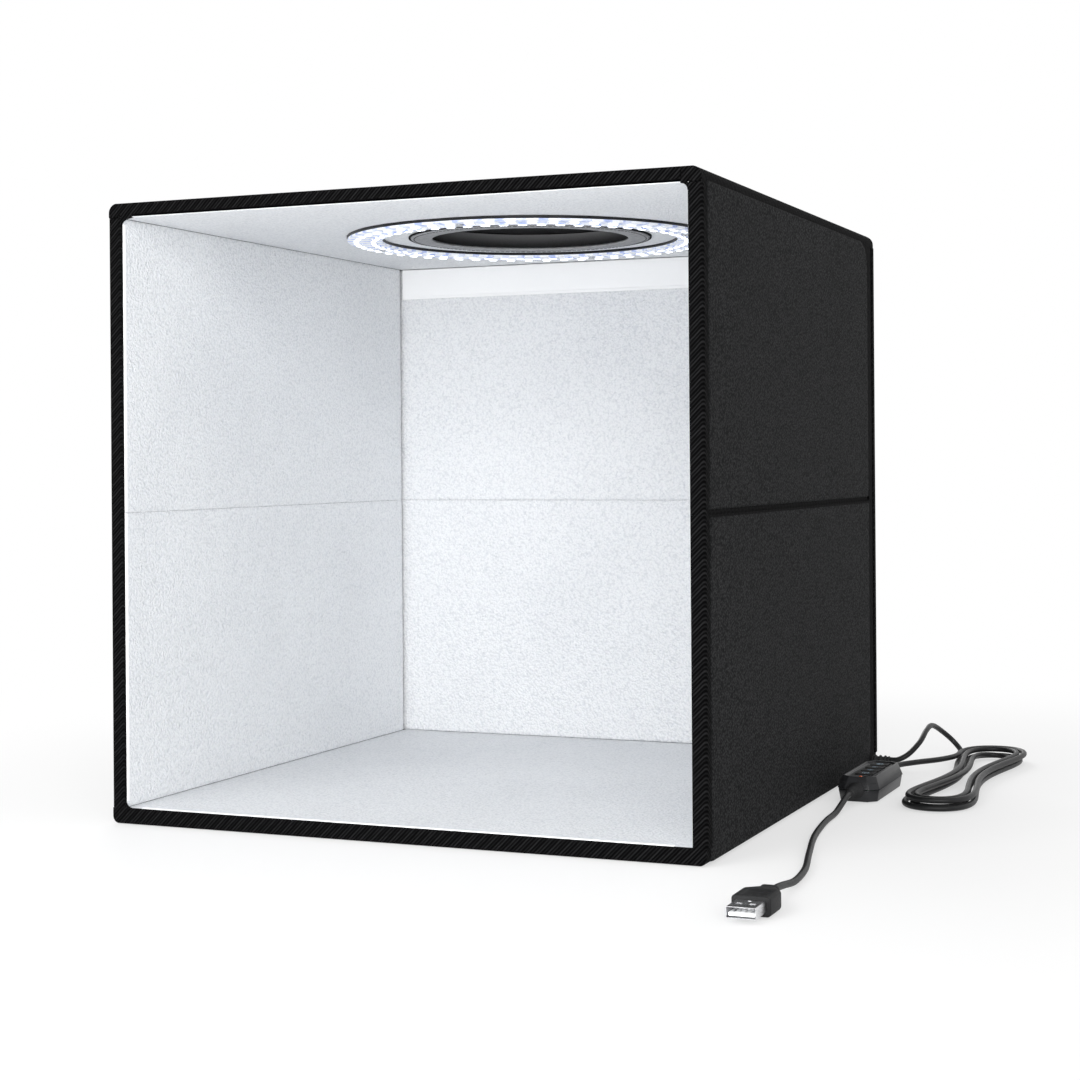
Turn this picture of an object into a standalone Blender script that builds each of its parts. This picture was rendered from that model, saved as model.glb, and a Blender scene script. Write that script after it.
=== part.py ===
# Folding light tent cube: eight lined panels that collapse, a ring light in the ceiling round a
# camera port, and a cord with an inline dimmer and a plug.
# Run with: blender --background --python part.py
# Metres, +Z up, +X to the tent's right, the open front towards -Y. The tent's base is centred on
# the origin and stands on z = 0.
import math

import bmesh
import bpy
from mathutils import Matrix, Vector

# Driving dimensions
WIDTH = 0.304
DEPTH = 0.304
HEIGHT = 0.300
PANEL = 0.0075
GAP = 0.0003

# Panel build-up, measured from the outer face
WALL_MARGIN = 0.0024
DECK_MARGIN = 0.0038
BOARD_IN = 0.0004
BOARD_OUT = 0.0054
LINING_IN = 0.0057
LINING_OUT = 0.0072
EDGE_RADIUS = 0.0030
WALL_EDGE_RADIUS = 0.0012
DECK = {"margin": DECK_MARGIN, "edge_radius": EDGE_RADIUS}
WALL = {"margin": WALL_MARGIN, "edge_radius": WALL_EDGE_RADIUS}

# Places shared by the folding walls
HALF_WIDTH = WIDTH / 2
HALF_DEPTH = DEPTH / 2
FOLD_HEIGHT = HEIGHT / 2
WALL_BOTTOM = PANEL + GAP
WALL_TOP = HEIGHT - PANEL - GAP
HINGE_LOW = PANEL + GAP / 2
HINGE_HIGH = HEIGHT - PANEL - GAP / 2
INNER_X = HALF_WIDTH - PANEL
INNER_Y = HALF_DEPTH - PANEL
SIDE_REAR = 0.1418

# Backdrop strip across the top of the back wall
STRIP_HEIGHT = 0.018
STRIP_THICKNESS = 0.0016
STRIP_HALF_LENGTH = 0.1435

# Ring light and camera port, under the top panel
PORT_CENTRE_Y = 0.012
PORT_RADIUS = 0.0520
COLLAR_WALL = 0.0016
COLLAR_FLANGE_RADIUS = 0.0635
COLLAR_FLANGE_THICKNESS = 0.0011
RING_INNER = 0.0780
RING_OUTER = 0.0970
RING_PLATE_THICKNESS = 0.0012
RING_BOARD_THICKNESS = 0.0010
RING_STEPS = 64
LED_ROWS = (0.0830, 0.0920)
LEDS_PER_ROW = 56
LED_SIZE = (0.0028, 0.0035, 0.0009)
LED_SUNK = 0.0002
RING_SCREWS = 4
SCREW_HEAD_RADIUS = 0.0022
SCREW_HEAD_HEIGHT = 0.0008
SCREW_SHANK_RADIUS = 0.0011
SCREW_HOLE_RADIUS = 0.0015
SCREW_STEPS = 12

# Cover over the camera port, on top of the tent
COVER_HALF_WIDTH = 0.0620
COVER_REACH = 0.0640
COVER_CORNER = 0.0180
COVER_REAR_CORNER = 0.0030
COVER_THICKNESS = 0.0016
COVER_HINGE_Y = PORT_CENTRE_Y + 0.0720
HINGE_STRIP_DEPTH = 0.0110
HINGE_STRIP_WIDTH = 0.1160
HINGE_STRIP_SETBACK = 0.0014
HINGE_STRIP_THICKNESS = 0.0010
COVER_TAB = (0.0220, 0.0120, 0.0016)

# Cord
CORD_DIAMETER = 0.0030
CORD_RADIUS = CORD_DIAMETER / 2
CORD_REST = CORD_RADIUS + GAP
GLAND_Y = 0.138
GLAND_Z = 0.0051
GLAND_LENGTH = 0.0100
HANK_CENTRE = Vector((0.212, 0.105, 0.0))
HANK_HALF_LENGTH = 0.095
HANK_WAIST = 0.0105
HANK_BULGE = 0.0300
HANK_LOOPS = 4
HANK_POINTS = 24
HANK_START = math.radians(45)
HANK_PITCH = 0.0041
HANK_CLIMB = 0.5
HANK_LAYER = 0.0037

# Inline controller, lying along Y beside the hank
CTRL_X = 0.1715
CTRL_Y = 0.055
CTRL_LENGTH = 0.060
CTRL_WIDTH = 0.021
CTRL_SPLIT = 0.0062
CTRL_TOP = 0.0118
CTRL_RIM = 0.0128
CTRL_WALL = 0.0014
CTRL_CHAMFER = 0.0042
CTRL_AXIS_Z = 0.0064
CTRL_RIM_WIDTH = 0.0036
CTRL_TAPER = 0.0022
CTRL_OVERHANG = 0.0004
CIRCUIT_LOW = 0.0050
CIRCUIT_HIGH = 0.0060
BUTTON_SIZE = (0.0092, 0.0076)
BUTTON_PITCH = 0.0104
BUTTON_MIDDLE = 0.0045
BUTTON_PROUD = 0.0006
BUTTON_FLANGE = 0.0007
BUTTON_FLANGE_THICKNESS = 0.0009
LENS_RADIUS = 0.0010
LENS_HOLE_RADIUS = 0.0013
LENS_OFFSET = 0.0215
RELIEF_LENGTH = 0.0135
RELIEF_ROOT = 0.0040
RELIEF_TIP = 0.0024
RELIEF_RIBS = 5
RIB_PROUD = 0.0003
RIB_SUNK = 0.0004

# Plug at the end of the tail
PLUG_X = 0.196
PLUG_BACK = -0.205
PLUG_GRIP = (0.0158, 0.0290, 0.0080)
PLUG_GRIP_TAPER = (0.62, 0.80)
PLUG_GRIP_RADIUS = 0.0014
PLUG_AXIS_Z = 0.0042
SHELL_SIZE = (0.0120, 0.0122, 0.0045)
SHELL_WALL = 0.0004
SHELL_WINDOW = 0.0023
SHELL_WINDOW_PLACE = (0.0027, 0.0062)

# Routes through hand-chosen points, in millimetres
LEAD_ROUTE = [
    (162.3, 138.0, 5.1), (166.0, 138.0, 5.2), (171.5, 140.0, 8.0), (176.5, 148.0, 14.0),
    (177.5, 161.0, 19.0), (177.5, 177.0, 20.0), (180.0, 190.0, 15.5), (185.5, 196.5, 9.0),
    (190.5, 193.5, 4.2), (192.4, 186.0, 2.0), (193.1, 179.5, 1.8), (193.93, 172.48, 1.8),
]
LINK_ROUTE = [
    (194.01, 171.88, 5.5), (194.4, 168.5, 5.5), (193.6, 159.0, 5.5), (188.5, 144.0, 5.7),
    (180.0, 127.5, 6.2), (173.6, 114.5, 6.4), (171.5, 104.5, 6.4), (171.5, 99.1, 6.4),
]
TAIL_ROUTE = [
    (171.5, 10.9, 6.4), (171.5, 6.0, 6.3), (171.5, -4.0, 4.2), (171.7, -16.0, 2.0),
    (173.0, -40.0, 1.8), (178.0, -78.0, 1.8), (186.5, -118.0, 1.8), (194.0, -152.0, 1.8),
    (196.3, -176.0, 2.0), (196.0, -190.0, 3.4), (196.0, -199.0, 4.2), (196.0, -204.7, 4.2),
]
MM = 0.001


def clear_scene():
    for obj in list(bpy.data.objects):
        bpy.data.objects.remove(obj)


def new_collection(name):
    collection = bpy.data.collections.new(name)
    bpy.context.scene.collection.children.link(collection)
    return collection


def material(name, colour, roughness, metallic=0.0):
    mat = bpy.data.materials.new(name)
    mat.use_nodes = True
    shader = mat.node_tree.nodes["Principled BSDF"]
    shader.inputs["Base Color"].default_value = (*colour, 1.0)
    shader.inputs["Roughness"].default_value = roughness
    shader.inputs["Metallic"].default_value = metallic
    mat.diffuse_color = (*colour, 1.0)
    return mat


def axis_empty(name, place, parent=None):
    empty = bpy.data.objects.new(name, None)
    empty.empty_display_size = 0.01
    parts.objects.link(empty)
    world[name] = Vector(place)
    empty.parent = parent
    empty.location = Vector(place) - (world[parent.name] if parent else Vector())
    return empty


def add_piece(name, bm, mat, body, place=(0, 0, 0), smooth=False):
    bmesh.ops.recalc_face_normals(bm, faces=bm.faces)
    mesh = bpy.data.meshes.new(name)
    bm.to_mesh(mesh)
    bm.free()
    obj = bpy.data.objects.new(name, mesh)
    parts.objects.link(obj)
    mesh.materials.append(mat)
    if smooth:
        mesh.shade_smooth()
        mesh.set_sharp_from_angle(angle=math.radians(35))
    obj.parent = body
    obj.location = Vector(place) - (world[body.name] if body else Vector())
    return obj


def add_cutter(name, bm):
    bmesh.ops.recalc_face_normals(bm, faces=bm.faces)
    mesh = bpy.data.meshes.new(name)
    bm.to_mesh(mesh)
    bm.free()
    obj = bpy.data.objects.new(name, mesh)
    cutters.objects.link(obj)
    obj.hide_render = True
    obj.display_type = "WIRE"
    return obj


def cut(obj, cutter, operation="DIFFERENCE"):
    boolean = obj.modifiers.new(cutter.name, "BOOLEAN")
    boolean.operation = operation
    boolean.solver = "EXACT"
    boolean.object = cutter


# A box from its low corner to its high corner, centred on its own middle
def box_mesh(low, high):
    size = Vector(high) - Vector(low)
    middle = (Vector(high) + Vector(low)) / 2
    bm = bmesh.new()
    bmesh.ops.create_cube(bm, size=1.0, matrix=Matrix.Diagonal((*size, 1.0)))
    return bm, middle


def bevel_edges(bm, radius, segments, wanted):
    edges = [edge for edge in bm.edges if wanted(*[vert.co for vert in edge.verts])]
    bmesh.ops.bevel(
        bm, geom=edges, offset=radius, segments=segments, profile=0.5, affect="EDGES",
        offset_type="OFFSET",
    )


def cylinder_mesh(radius, low, high, steps=RING_STEPS, centre=(0.0, 0.0)):
    bm = bmesh.new()
    middle = Matrix.Translation((centre[0], centre[1], (low + high) / 2))
    bmesh.ops.create_cone(
        bm, cap_ends=True, segments=steps, radius1=radius, radius2=radius,
        depth=high - low, matrix=middle,
    )
    return bm


# A solid of revolution about Z from a closed profile of (radius, height) points
def turned(name, profile, mat, body, place, steps=RING_STEPS):
    mesh = bpy.data.meshes.new(name)
    points = [(radius, 0.0, height) for radius, height in profile]
    edges = [(i, (i + 1) % len(points)) for i in range(len(points))]
    mesh.from_pydata(points, edges, [])
    mesh.materials.append(mat)
    obj = bpy.data.objects.new(name, mesh)
    parts.objects.link(obj)
    screw = obj.modifiers.new("turn", "SCREW")
    screw.steps = steps
    screw.render_steps = steps
    screw.use_merge_vertices = True
    screw.merge_threshold = 0.00001
    screw.use_smooth_shade = False
    obj.parent = body
    obj.location = Vector(place) - (world[body.name] if body else Vector())
    return obj


# A round cord on a poly spline through the given points
def cord(name, points, mat, resolution):
    curve = bpy.data.curves.new(name, "CURVE")
    curve.dimensions = "3D"
    curve.bevel_depth = CORD_RADIUS
    curve.bevel_resolution = resolution
    curve.use_fill_caps = True
    curve.materials.append(mat)
    spline = curve.splines.new("POLY")
    spline.points.add(len(points) - 1)
    for slot, point in zip(spline.points, points):
        slot.co = (*point, 1.0)
    obj = bpy.data.objects.new(name, curve)
    parts.objects.link(obj)
    return obj


# Points at even steps along a smooth curve through the route's own points
def smooth_route(route, step):
    knots = [Vector(point) * MM for point in route]
    dense = []
    for i in range(len(knots) - 1):
        before = knots[max(i - 1, 0)]
        after = knots[min(i + 2, len(knots) - 1)]
        for k in range(24):
            dense.append(centripetal(before, knots[i], knots[i + 1], after, k / 24))
    dense.append(knots[-1])
    return even_steps(dense, step)


def centripetal(p0, p1, p2, p3, t):
    d1 = max((p1 - p0).length, 1e-9) ** 0.5
    d2 = max((p2 - p1).length, 1e-9) ** 0.5
    d3 = max((p3 - p2).length, 1e-9) ** 0.5
    span = p2 - p1
    start = span if (p1 - p0).length < 1e-9 else (
        (p1 - p0) / d1 - (p2 - p0) / (d1 + d2) + span / d2) * d2
    end = span if (p3 - p2).length < 1e-9 else (
        span / d2 - (p3 - p1) / (d2 + d3) + (p3 - p2) / d3) * d2
    a = t * t * t
    b = t * t
    return (p1 * (2 * a - 3 * b + 1) + start * (a - 2 * b + t)
            + p2 * (3 * b - 2 * a) + end * (a - b))


def even_steps(dense, step):
    lengths = [0.0]
    for a, b in zip(dense, dense[1:]):
        lengths.append(lengths[-1] + (b - a).length)
    count = max(2, round(lengths[-1] / step))
    points = []
    place = 0
    for k in range(count + 1):
        goal = lengths[-1] * k / count
        while place < len(dense) - 2 and lengths[place + 1] < goal:
            place += 1
        share = (goal - lengths[place]) / max(lengths[place + 1] - lengths[place], 1e-12)
        points.append(dense[place].lerp(dense[place + 1], min(share, 1.0)))
    return points


# One panel: a board in its cover, the lining inside it, and a binding round the edges.
# axis is the thickness direction (0, 1 or 2) and inward is +1 or -1 along it.
def panel(prefix, low, high, axis, inward, body, margin, edge_radius, board_in=BOARD_IN):
    outer = low[axis] if inward > 0 else high[axis]
    bm, middle = box_mesh(low, high)
    side = -inward * PANEL / 2

    def on_outer_rim(a, b):
        across = [k for k in range(3) if k != axis]
        along_thickness = all(abs(a[k] - b[k]) < 1e-6 for k in across)
        on_face = abs(a[axis] - side) < 1e-6 and abs(b[axis] - side) < 1e-6
        return on_face or along_thickness

    bevel_edges(bm, edge_radius, 3, on_outer_rim)
    binding = add_piece(f"{prefix}_binding", bm, binding_cloth, body, middle)
    window_low = [value + margin for value in low]
    window_high = [value - margin for value in high]
    window_low[axis] = low[axis] - PANEL
    window_high[axis] = high[axis] + PANEL
    bm, window_middle = box_mesh(window_low, window_high)
    window = add_cutter(f"{prefix}_window", bm)
    window.location = window_middle
    cut(binding, window)
    for piece, mat, near, far in (
        ("board", cover_cloth, board_in, BOARD_OUT),
        ("lining", silver_lining, LINING_IN, LINING_OUT),
    ):
        ends = sorted((outer + inward * near, outer + inward * far))
        slab_low = [value + GAP for value in window_low]
        slab_high = [value - GAP for value in window_high]
        slab_low[axis] = ends[0]
        slab_high[axis] = ends[1]
        bm, slab_middle = box_mesh(slab_low, slab_high)
        add_piece(f"{prefix}_{piece}", bm, mat, body, slab_middle)


def build_base(body):
    panel("base", (-HALF_WIDTH, -HALF_DEPTH, 0), (HALF_WIDTH, HALF_DEPTH, PANEL), 2, 1, body,
          **DECK, board_in=0.0)


def build_side(prefix, sign, lower, upper):
    outer = sign * HALF_WIDTH
    inner = sign * INNER_X
    x_low, x_high = sorted((outer, inner))
    panel(f"{prefix}_lower", (x_low, -HALF_DEPTH, WALL_BOTTOM),
          (x_high, SIDE_REAR, FOLD_HEIGHT - GAP / 2), 0, -sign, lower, **WALL)
    panel(f"{prefix}_upper", (x_low, -HALF_DEPTH, FOLD_HEIGHT + GAP / 2),
          (x_high, SIDE_REAR, WALL_TOP), 0, -sign, upper, **WALL)


def build_back(lower, upper):
    panel("back_lower", (-HALF_WIDTH, INNER_Y, WALL_BOTTOM),
          (HALF_WIDTH, HALF_DEPTH, FOLD_HEIGHT - GAP / 2), 1, -1, lower, **WALL)
    panel("back_upper", (-HALF_WIDTH, INNER_Y, FOLD_HEIGHT + GAP / 2),
          (HALF_WIDTH, HALF_DEPTH, WALL_TOP), 1, -1, upper, **WALL)
    front = INNER_Y - GAP - STRIP_THICKNESS
    bm, middle = box_mesh(
        (-STRIP_HALF_LENGTH, front, WALL_TOP - STRIP_HEIGHT),
        (STRIP_HALF_LENGTH, INNER_Y - GAP, WALL_TOP),
    )
    bevel_edges(bm, 0.0004, 1, lambda a, b: a.y < 0 and b.y < 0)
    add_piece("backdrop_strip", bm, white_strip, upper, middle)


def build_top(body):
    panel("top", (-HALF_WIDTH, -HALF_DEPTH, HEIGHT - PANEL), (HALF_WIDTH, HALF_DEPTH, HEIGHT),
          2, -1, body, **DECK)
    hole_radius = PORT_RADIUS + COLLAR_WALL + GAP
    hole = add_cutter("port_hole", cylinder_mesh(
        hole_radius, HEIGHT - 2 * PANEL, HEIGHT + PANEL, centre=(0.0, PORT_CENTRE_Y)))
    cut(bpy.data.objects["top_board"], hole)
    cut(bpy.data.objects["top_lining"], hole)
    build_collar(body)
    build_ring_light(body)


# The collar lines the camera port and turns out under the ceiling in a stitched flange
def build_collar(body):
    ceiling = HEIGHT - LINING_OUT
    tube_top = HEIGHT - BOARD_IN
    flange_low = ceiling - GAP - COLLAR_FLANGE_THICKNESS
    tube_outer = PORT_RADIUS + COLLAR_WALL
    turned("port_collar", [
        (PORT_RADIUS + 0.0006, flange_low),
        (PORT_RADIUS, flange_low + 0.0006),
        (PORT_RADIUS, tube_top),
        (tube_outer, tube_top),
        (tube_outer, ceiling - GAP),
        (COLLAR_FLANGE_RADIUS, ceiling - GAP),
        (COLLAR_FLANGE_RADIUS, flange_low + 0.0004),
        (COLLAR_FLANGE_RADIUS - 0.0006, flange_low),
    ], grey_collar, body, (0, PORT_CENTRE_Y, 0))


def build_ring_light(body):
    ceiling = HEIGHT - LINING_OUT
    plate_high = ceiling - GAP
    plate_low = plate_high - RING_PLATE_THICKNESS
    board_high = plate_low - GAP
    board_low = board_high - RING_BOARD_THICKNESS
    centre = Vector((0, PORT_CENTRE_Y, 0))
    plate = turned("ring_light_plate", ring_profile(RING_INNER, RING_OUTER, plate_low, plate_high),
                   black_plastic, body, centre)
    board = turned("ring_light_board",
                   ring_profile(RING_INNER + 0.001, RING_OUTER - 0.001, board_low, board_high),
                   white_board, body, centre)
    mid_radius = (RING_INNER + RING_OUTER) / 2
    spots = [polar(mid_radius, k / RING_SCREWS, centre) for k in range(RING_SCREWS)]
    holes = bmesh.new()
    head_high = board_low - GAP
    for number, spot in enumerate(spots, 1):
        add_cylinder(holes, SCREW_HOLE_RADIUS, board_low - PANEL, plate_high + GAP / 3, spot,
                     SCREW_STEPS)
        screw = bmesh.new()
        add_screw(screw, spot, head_high, plate_high)
        add_piece(f"ring_light_screw_{number}", screw, steel, body, smooth=True)
    cutter = add_cutter("ring_light_holes", holes)
    cut(plate, cutter)
    cut(board, cutter)
    cut(board, led_blocks(board_low, centre), "UNION")


def ring_profile(inner, outer, low, high):
    return [(inner, low), (inner, high), (outer, high), (outer, low)]


def polar(radius, turn, centre):
    angle = 2 * math.pi * turn + math.pi / 2
    return centre + Vector((radius * math.cos(angle), radius * math.sin(angle), 0))


def add_cylinder(bm, radius, low, high, spot, steps):
    bmesh.ops.create_cone(
        bm, cap_ends=True, segments=steps, radius1=radius, radius2=radius, depth=high - low,
        matrix=Matrix.Translation((spot.x, spot.y, (low + high) / 2)),
    )


# A pan-head screw standing upwards, as one closed body turned from its outline
def add_screw(bm, spot, head_high, shank_high):
    head_low = head_high - SCREW_HEAD_HEIGHT
    outline = [
        (0.0, head_low), (SCREW_HEAD_RADIUS * 0.7, head_low),
        (SCREW_HEAD_RADIUS, head_low + SCREW_HEAD_HEIGHT / 2), (SCREW_HEAD_RADIUS, head_high),
        (SCREW_SHANK_RADIUS, head_high), (SCREW_SHANK_RADIUS, shank_high), (0.0, shank_high),
    ]
    spin(bm, outline, spot, SCREW_STEPS)


# Turns an outline that starts and ends on the axis into a closed body
def spin(bm, outline, spot, steps):
    verts = [bm.verts.new((spot.x + radius, spot.y, height)) for radius, height in outline]
    edges = [bm.edges.new(pair) for pair in zip(verts, verts[1:])]
    made = bmesh.ops.spin(
        bm, geom=verts + edges, cent=spot, axis=(0, 0, 1), angle=2 * math.pi, steps=steps,
        use_merge=True, dvec=(0, 0, 0),
    )
    near = [vert for vert in bm.verts if (vert.co.xy - spot.xy).length < 2 * RELIEF_ROOT]
    bmesh.ops.remove_doubles(bm, verts=near, dist=0.000001)
    return made


# Two staggered rows of surface-mounted LEDs, each a small block let into the board's face
def led_blocks(board_low, centre):
    bm = bmesh.new()
    for row, radius in enumerate(LED_ROWS):
        for k in range(LEDS_PER_ROW):
            turn = (k + 0.5 * row + 0.25) / LEDS_PER_ROW
            spot = polar(radius, turn, centre)
            turnabout = Matrix.Rotation(2 * math.pi * turn, 4, "Z")
            place = Matrix.Translation((spot.x, spot.y, board_low - LED_SIZE[2] / 2 + LED_SUNK))
            bmesh.ops.create_cube(
                bm, size=1.0, matrix=place @ turnabout @ Matrix.Diagonal((*LED_SIZE, 1.0)))
    return add_cutter("led_blocks", bm)


# The cover is a flap with round front corners, hinged along its rear edge behind the port
def build_port_cover(top, body):
    low = HEIGHT + GAP
    high = low + COVER_THICKNESS
    front = PORT_CENTRE_Y - COVER_REACH
    bm, middle = box_mesh((-COVER_HALF_WIDTH, front, low),
                          (COVER_HALF_WIDTH, COVER_HINGE_Y - GAP, high))
    bevel_edges(bm, COVER_CORNER, 7, lambda a, b: abs(a.z - b.z) > 1e-5 and a.y < 0)
    bevel_edges(bm, COVER_REAR_CORNER, 2,
                lambda a, b: abs(a.z - b.z) > 1e-5 and a.y > COVER_REACH / 2 and abs(a.y - b.y) < 1e-5)
    add_piece("port_cover", bm, cover_cloth, body, middle)
    bm, middle = box_mesh((-COVER_TAB[0] / 2, front - COVER_TAB[1], low),
                          (COVER_TAB[0] / 2, front - GAP, low + COVER_TAB[2]))
    bevel_edges(bm, 0.004, 4, lambda a, b: abs(a.z - b.z) > 1e-5 and a.y < 0)
    add_piece("port_cover_tab", bm, binding_cloth, body, middle)
    strip_low = COVER_HINGE_Y + HINGE_STRIP_SETBACK
    bm, middle = box_mesh(
        (-HINGE_STRIP_WIDTH / 2, strip_low, low),
        (HINGE_STRIP_WIDTH / 2, strip_low + HINGE_STRIP_DEPTH, low + HINGE_STRIP_THICKNESS),
    )
    bevel_edges(bm, COVER_REAR_CORNER, 3, lambda a, b: abs(a.z - b.z) > 1e-5)
    add_piece("port_cover_hinge", bm, binding_cloth, top, middle)


# A ribbed strain relief from its root towards the cord, as one closed body turned from its outline
def relief(name, place, towards, body, length, root, tip, ribs):
    bm = bmesh.new()
    outline = [(0.0, 0.0), (root, 0.0)]
    pitch = length / (ribs + 1)
    for k in range(ribs):
        radius = root + (tip - root) * (k + 1) / (ribs + 1)
        start = pitch * (k + 0.5)
        outline.append((radius + RIB_PROUD, start))
        outline.append((radius + RIB_PROUD, start + pitch * 0.5))
        outline.append((radius - RIB_SUNK, start + pitch * 0.6))
        outline.append((radius - RIB_SUNK, start + pitch * 0.9))
    outline.append((tip, length))
    outline.append((0.0, length))
    spin(bm, outline, Vector(), 16)
    obj = add_piece(name, bm, black_rubber, body, place, smooth=True)
    obj.rotation_euler = Vector((0, 0, 1)).rotation_difference(Vector(towards)).to_euler()
    return obj


def chamfered_block(low, high, chamfer, taper):
    bm, middle = box_mesh(low, high)
    top = max(vert.co.z for vert in bm.verts)
    for vert in bm.verts:
        if vert.co.z > top - 1e-6:
            vert.co.x -= math.copysign(taper, vert.co.x)
            vert.co.y -= math.copysign(taper, vert.co.y)
    bevel_edges(bm, chamfer, 2, lambda a, b: abs(a.z - b.z) > 0.001)
    return bm, middle


def ctrl_box(half_width, half_length, low, high):
    return ((CTRL_X - half_width, CTRL_Y - half_length, low),
            (CTRL_X + half_width, CTRL_Y + half_length, high))


# Two moulded shells over a circuit board, with a sunk key field inside a raised rim
def build_controller(body):
    half_width = CTRL_WIDTH / 2
    half_length = CTRL_LENGTH / 2
    bm, middle = chamfered_block(
        *ctrl_box(half_width, half_length, GAP, CTRL_SPLIT), CTRL_CHAMFER, -CTRL_OVERHANG)
    bottom = add_piece("controller_base", bm, black_plastic, body, middle)
    bm, middle = chamfered_block(
        *ctrl_box(half_width - CTRL_WALL, half_length - CTRL_WALL, GAP + CTRL_WALL,
                  CTRL_SPLIT + 0.002), CTRL_CHAMFER - CTRL_WALL / 2, 0.0)
    hollow = add_cutter("controller_base_hollow", bm)
    hollow.location = middle
    cut(bottom, hollow)
    bm, middle = chamfered_block(
        *ctrl_box(half_width + CTRL_OVERHANG, half_length + CTRL_OVERHANG, CTRL_SPLIT + GAP, CTRL_RIM),
        CTRL_CHAMFER, CTRL_TAPER)
    cover = add_piece("controller_cover", bm, black_plastic, body, middle)
    bm, middle = chamfered_block(
        *ctrl_box(half_width - CTRL_WALL - CTRL_OVERHANG, half_length - CTRL_WALL - CTRL_OVERHANG,
                  CTRL_SPLIT - 0.002, CTRL_TOP - CTRL_WALL),
        CTRL_CHAMFER - CTRL_WALL / 2, CTRL_TAPER)
    hollow = add_cutter("controller_cover_hollow", bm)
    hollow.location = middle
    cut(cover, hollow)
    bm, middle = box_mesh(*ctrl_box(
        half_width - CTRL_RIM_WIDTH, half_length - CTRL_RIM_WIDTH, CTRL_TOP, CTRL_RIM + 0.002))
    field = add_cutter("controller_field", bm)
    field.location = middle
    cut(cover, field)
    wells = bmesh.new()
    for spot in button_spots():
        grow = Vector((BUTTON_SIZE[0] + 2 * GAP, BUTTON_SIZE[1] + 2 * GAP, 0.006, 1.0))
        bmesh.ops.create_cube(wells, size=1.0,
                              matrix=Matrix.Translation(spot) @ Matrix.Diagonal(grow))
    lens_spot = indicator_spot()
    bmesh.ops.create_cone(
        wells, cap_ends=True, segments=16, radius1=LENS_HOLE_RADIUS, radius2=LENS_HOLE_RADIUS,
        depth=0.006, matrix=Matrix.Translation(lens_spot))
    cut(cover, add_cutter("controller_wells", wells))
    bm, middle = box_mesh(*ctrl_box(
        half_width - CTRL_WALL - 0.0012, half_length - CTRL_WALL - 0.0030, CIRCUIT_LOW,
        CIRCUIT_HIGH))
    add_piece("controller_circuit", bm, green_board, body, middle)
    bm = bmesh.new()
    lens_low = CIRCUIT_HIGH + 0.0004
    outline = [(0.0, lens_low), (LENS_RADIUS, lens_low), (LENS_RADIUS, CTRL_TOP + 0.0001),
               (LENS_RADIUS * 0.6, CTRL_TOP + 0.0004), (0.0, CTRL_TOP + 0.0005)]
    spin(bm, outline, Vector((0, 0, 0)), 16)
    add_piece("indicator_lens", bm, amber_lens, body, (lens_spot.x, lens_spot.y, 0), smooth=True)


def button_spots():
    first = CTRL_Y + BUTTON_MIDDLE - 1.5 * BUTTON_PITCH
    return [Vector((CTRL_X, first + k * BUTTON_PITCH, CTRL_TOP)) for k in range(4)]


def indicator_spot():
    return Vector((CTRL_X, CTRL_Y - LENS_OFFSET, CTRL_TOP))


# Each key is a cap in its well with a flange under the cover that keeps it in
def build_button(name, spot, body):
    half_x = BUTTON_SIZE[0] / 2
    half_y = BUTTON_SIZE[1] / 2
    flange_high = CTRL_TOP - CTRL_WALL - GAP
    flange_low = flange_high - BUTTON_FLANGE_THICKNESS
    bm, middle = box_mesh((spot.x - half_x, spot.y - half_y, flange_low),
                          (spot.x + half_x, spot.y + half_y, CTRL_TOP + BUTTON_PROUD))
    bevel_edges(bm, 0.0003, 1, lambda a, b: a.z > 0 and b.z > 0)
    cap = add_piece(name, bm, black_rubber, body, middle)
    flange_x = half_x + BUTTON_FLANGE
    flange_y = half_y + BUTTON_FLANGE
    bm, middle = box_mesh((spot.x - flange_x, spot.y - flange_y, flange_low),
                          (spot.x + flange_x, spot.y + flange_y, flange_high))
    flange = add_cutter(f"{name}_flange", bm)
    flange.location = middle
    cut(cap, flange, "UNION")
    return cap


# The hank's outline: long loops drawn in at the waist, halfway along
def hank_outline(angle):
    u = math.cos(angle)
    half = HANK_WAIST + HANK_BULGE * u * u
    return Vector((-half * math.sin(angle), HANK_HALF_LENGTH * u, 0.0))


# Loops spiral inwards on the ground, climb a layer along a run, and spiral out on top
def hank_points():
    count = HANK_LOOPS * HANK_POINTS
    points = []
    for k in range(count + 1):
        t = HANK_LOOPS * k / count
        angle = HANK_START + 2 * math.pi * t
        along = (hank_outline(angle + 0.0001) - hank_outline(angle - 0.0001)).normalized()
        inward = Vector((-along.y, along.x, 0.0)) * min(t, HANK_LOOPS - t) * HANK_PITCH
        rise = smooth_step((t - HANK_LOOPS / 2) / HANK_CLIMB + 0.5)
        height = Vector((0.0, 0.0, CORD_REST + HANK_LAYER * rise))
        points.append(HANK_CENTRE + hank_outline(angle) + inward + height)
    return points


def smooth_step(value):
    value = min(max(value, 0.0), 1.0)
    return value * value * (3 - 2 * value)


# The least clear gap between stretches of the hank that aren't next to each other
def least_gap(points):
    samples = []
    for i, (a, b) in enumerate(zip(points, points[1:])):
        samples += [(i + k / 4, a.lerp(b, k / 4)) for k in range(4)]
    gap = 1.0
    for i, (place, point) in enumerate(samples):
        for other_place, other in samples[i + 1:]:
            if other_place - place > 4:
                gap = min(gap, (other - point).length - CORD_DIAMETER)
    return gap


def route_length(points):
    return sum((b - a).length for a, b in zip(points, points[1:]))


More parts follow.
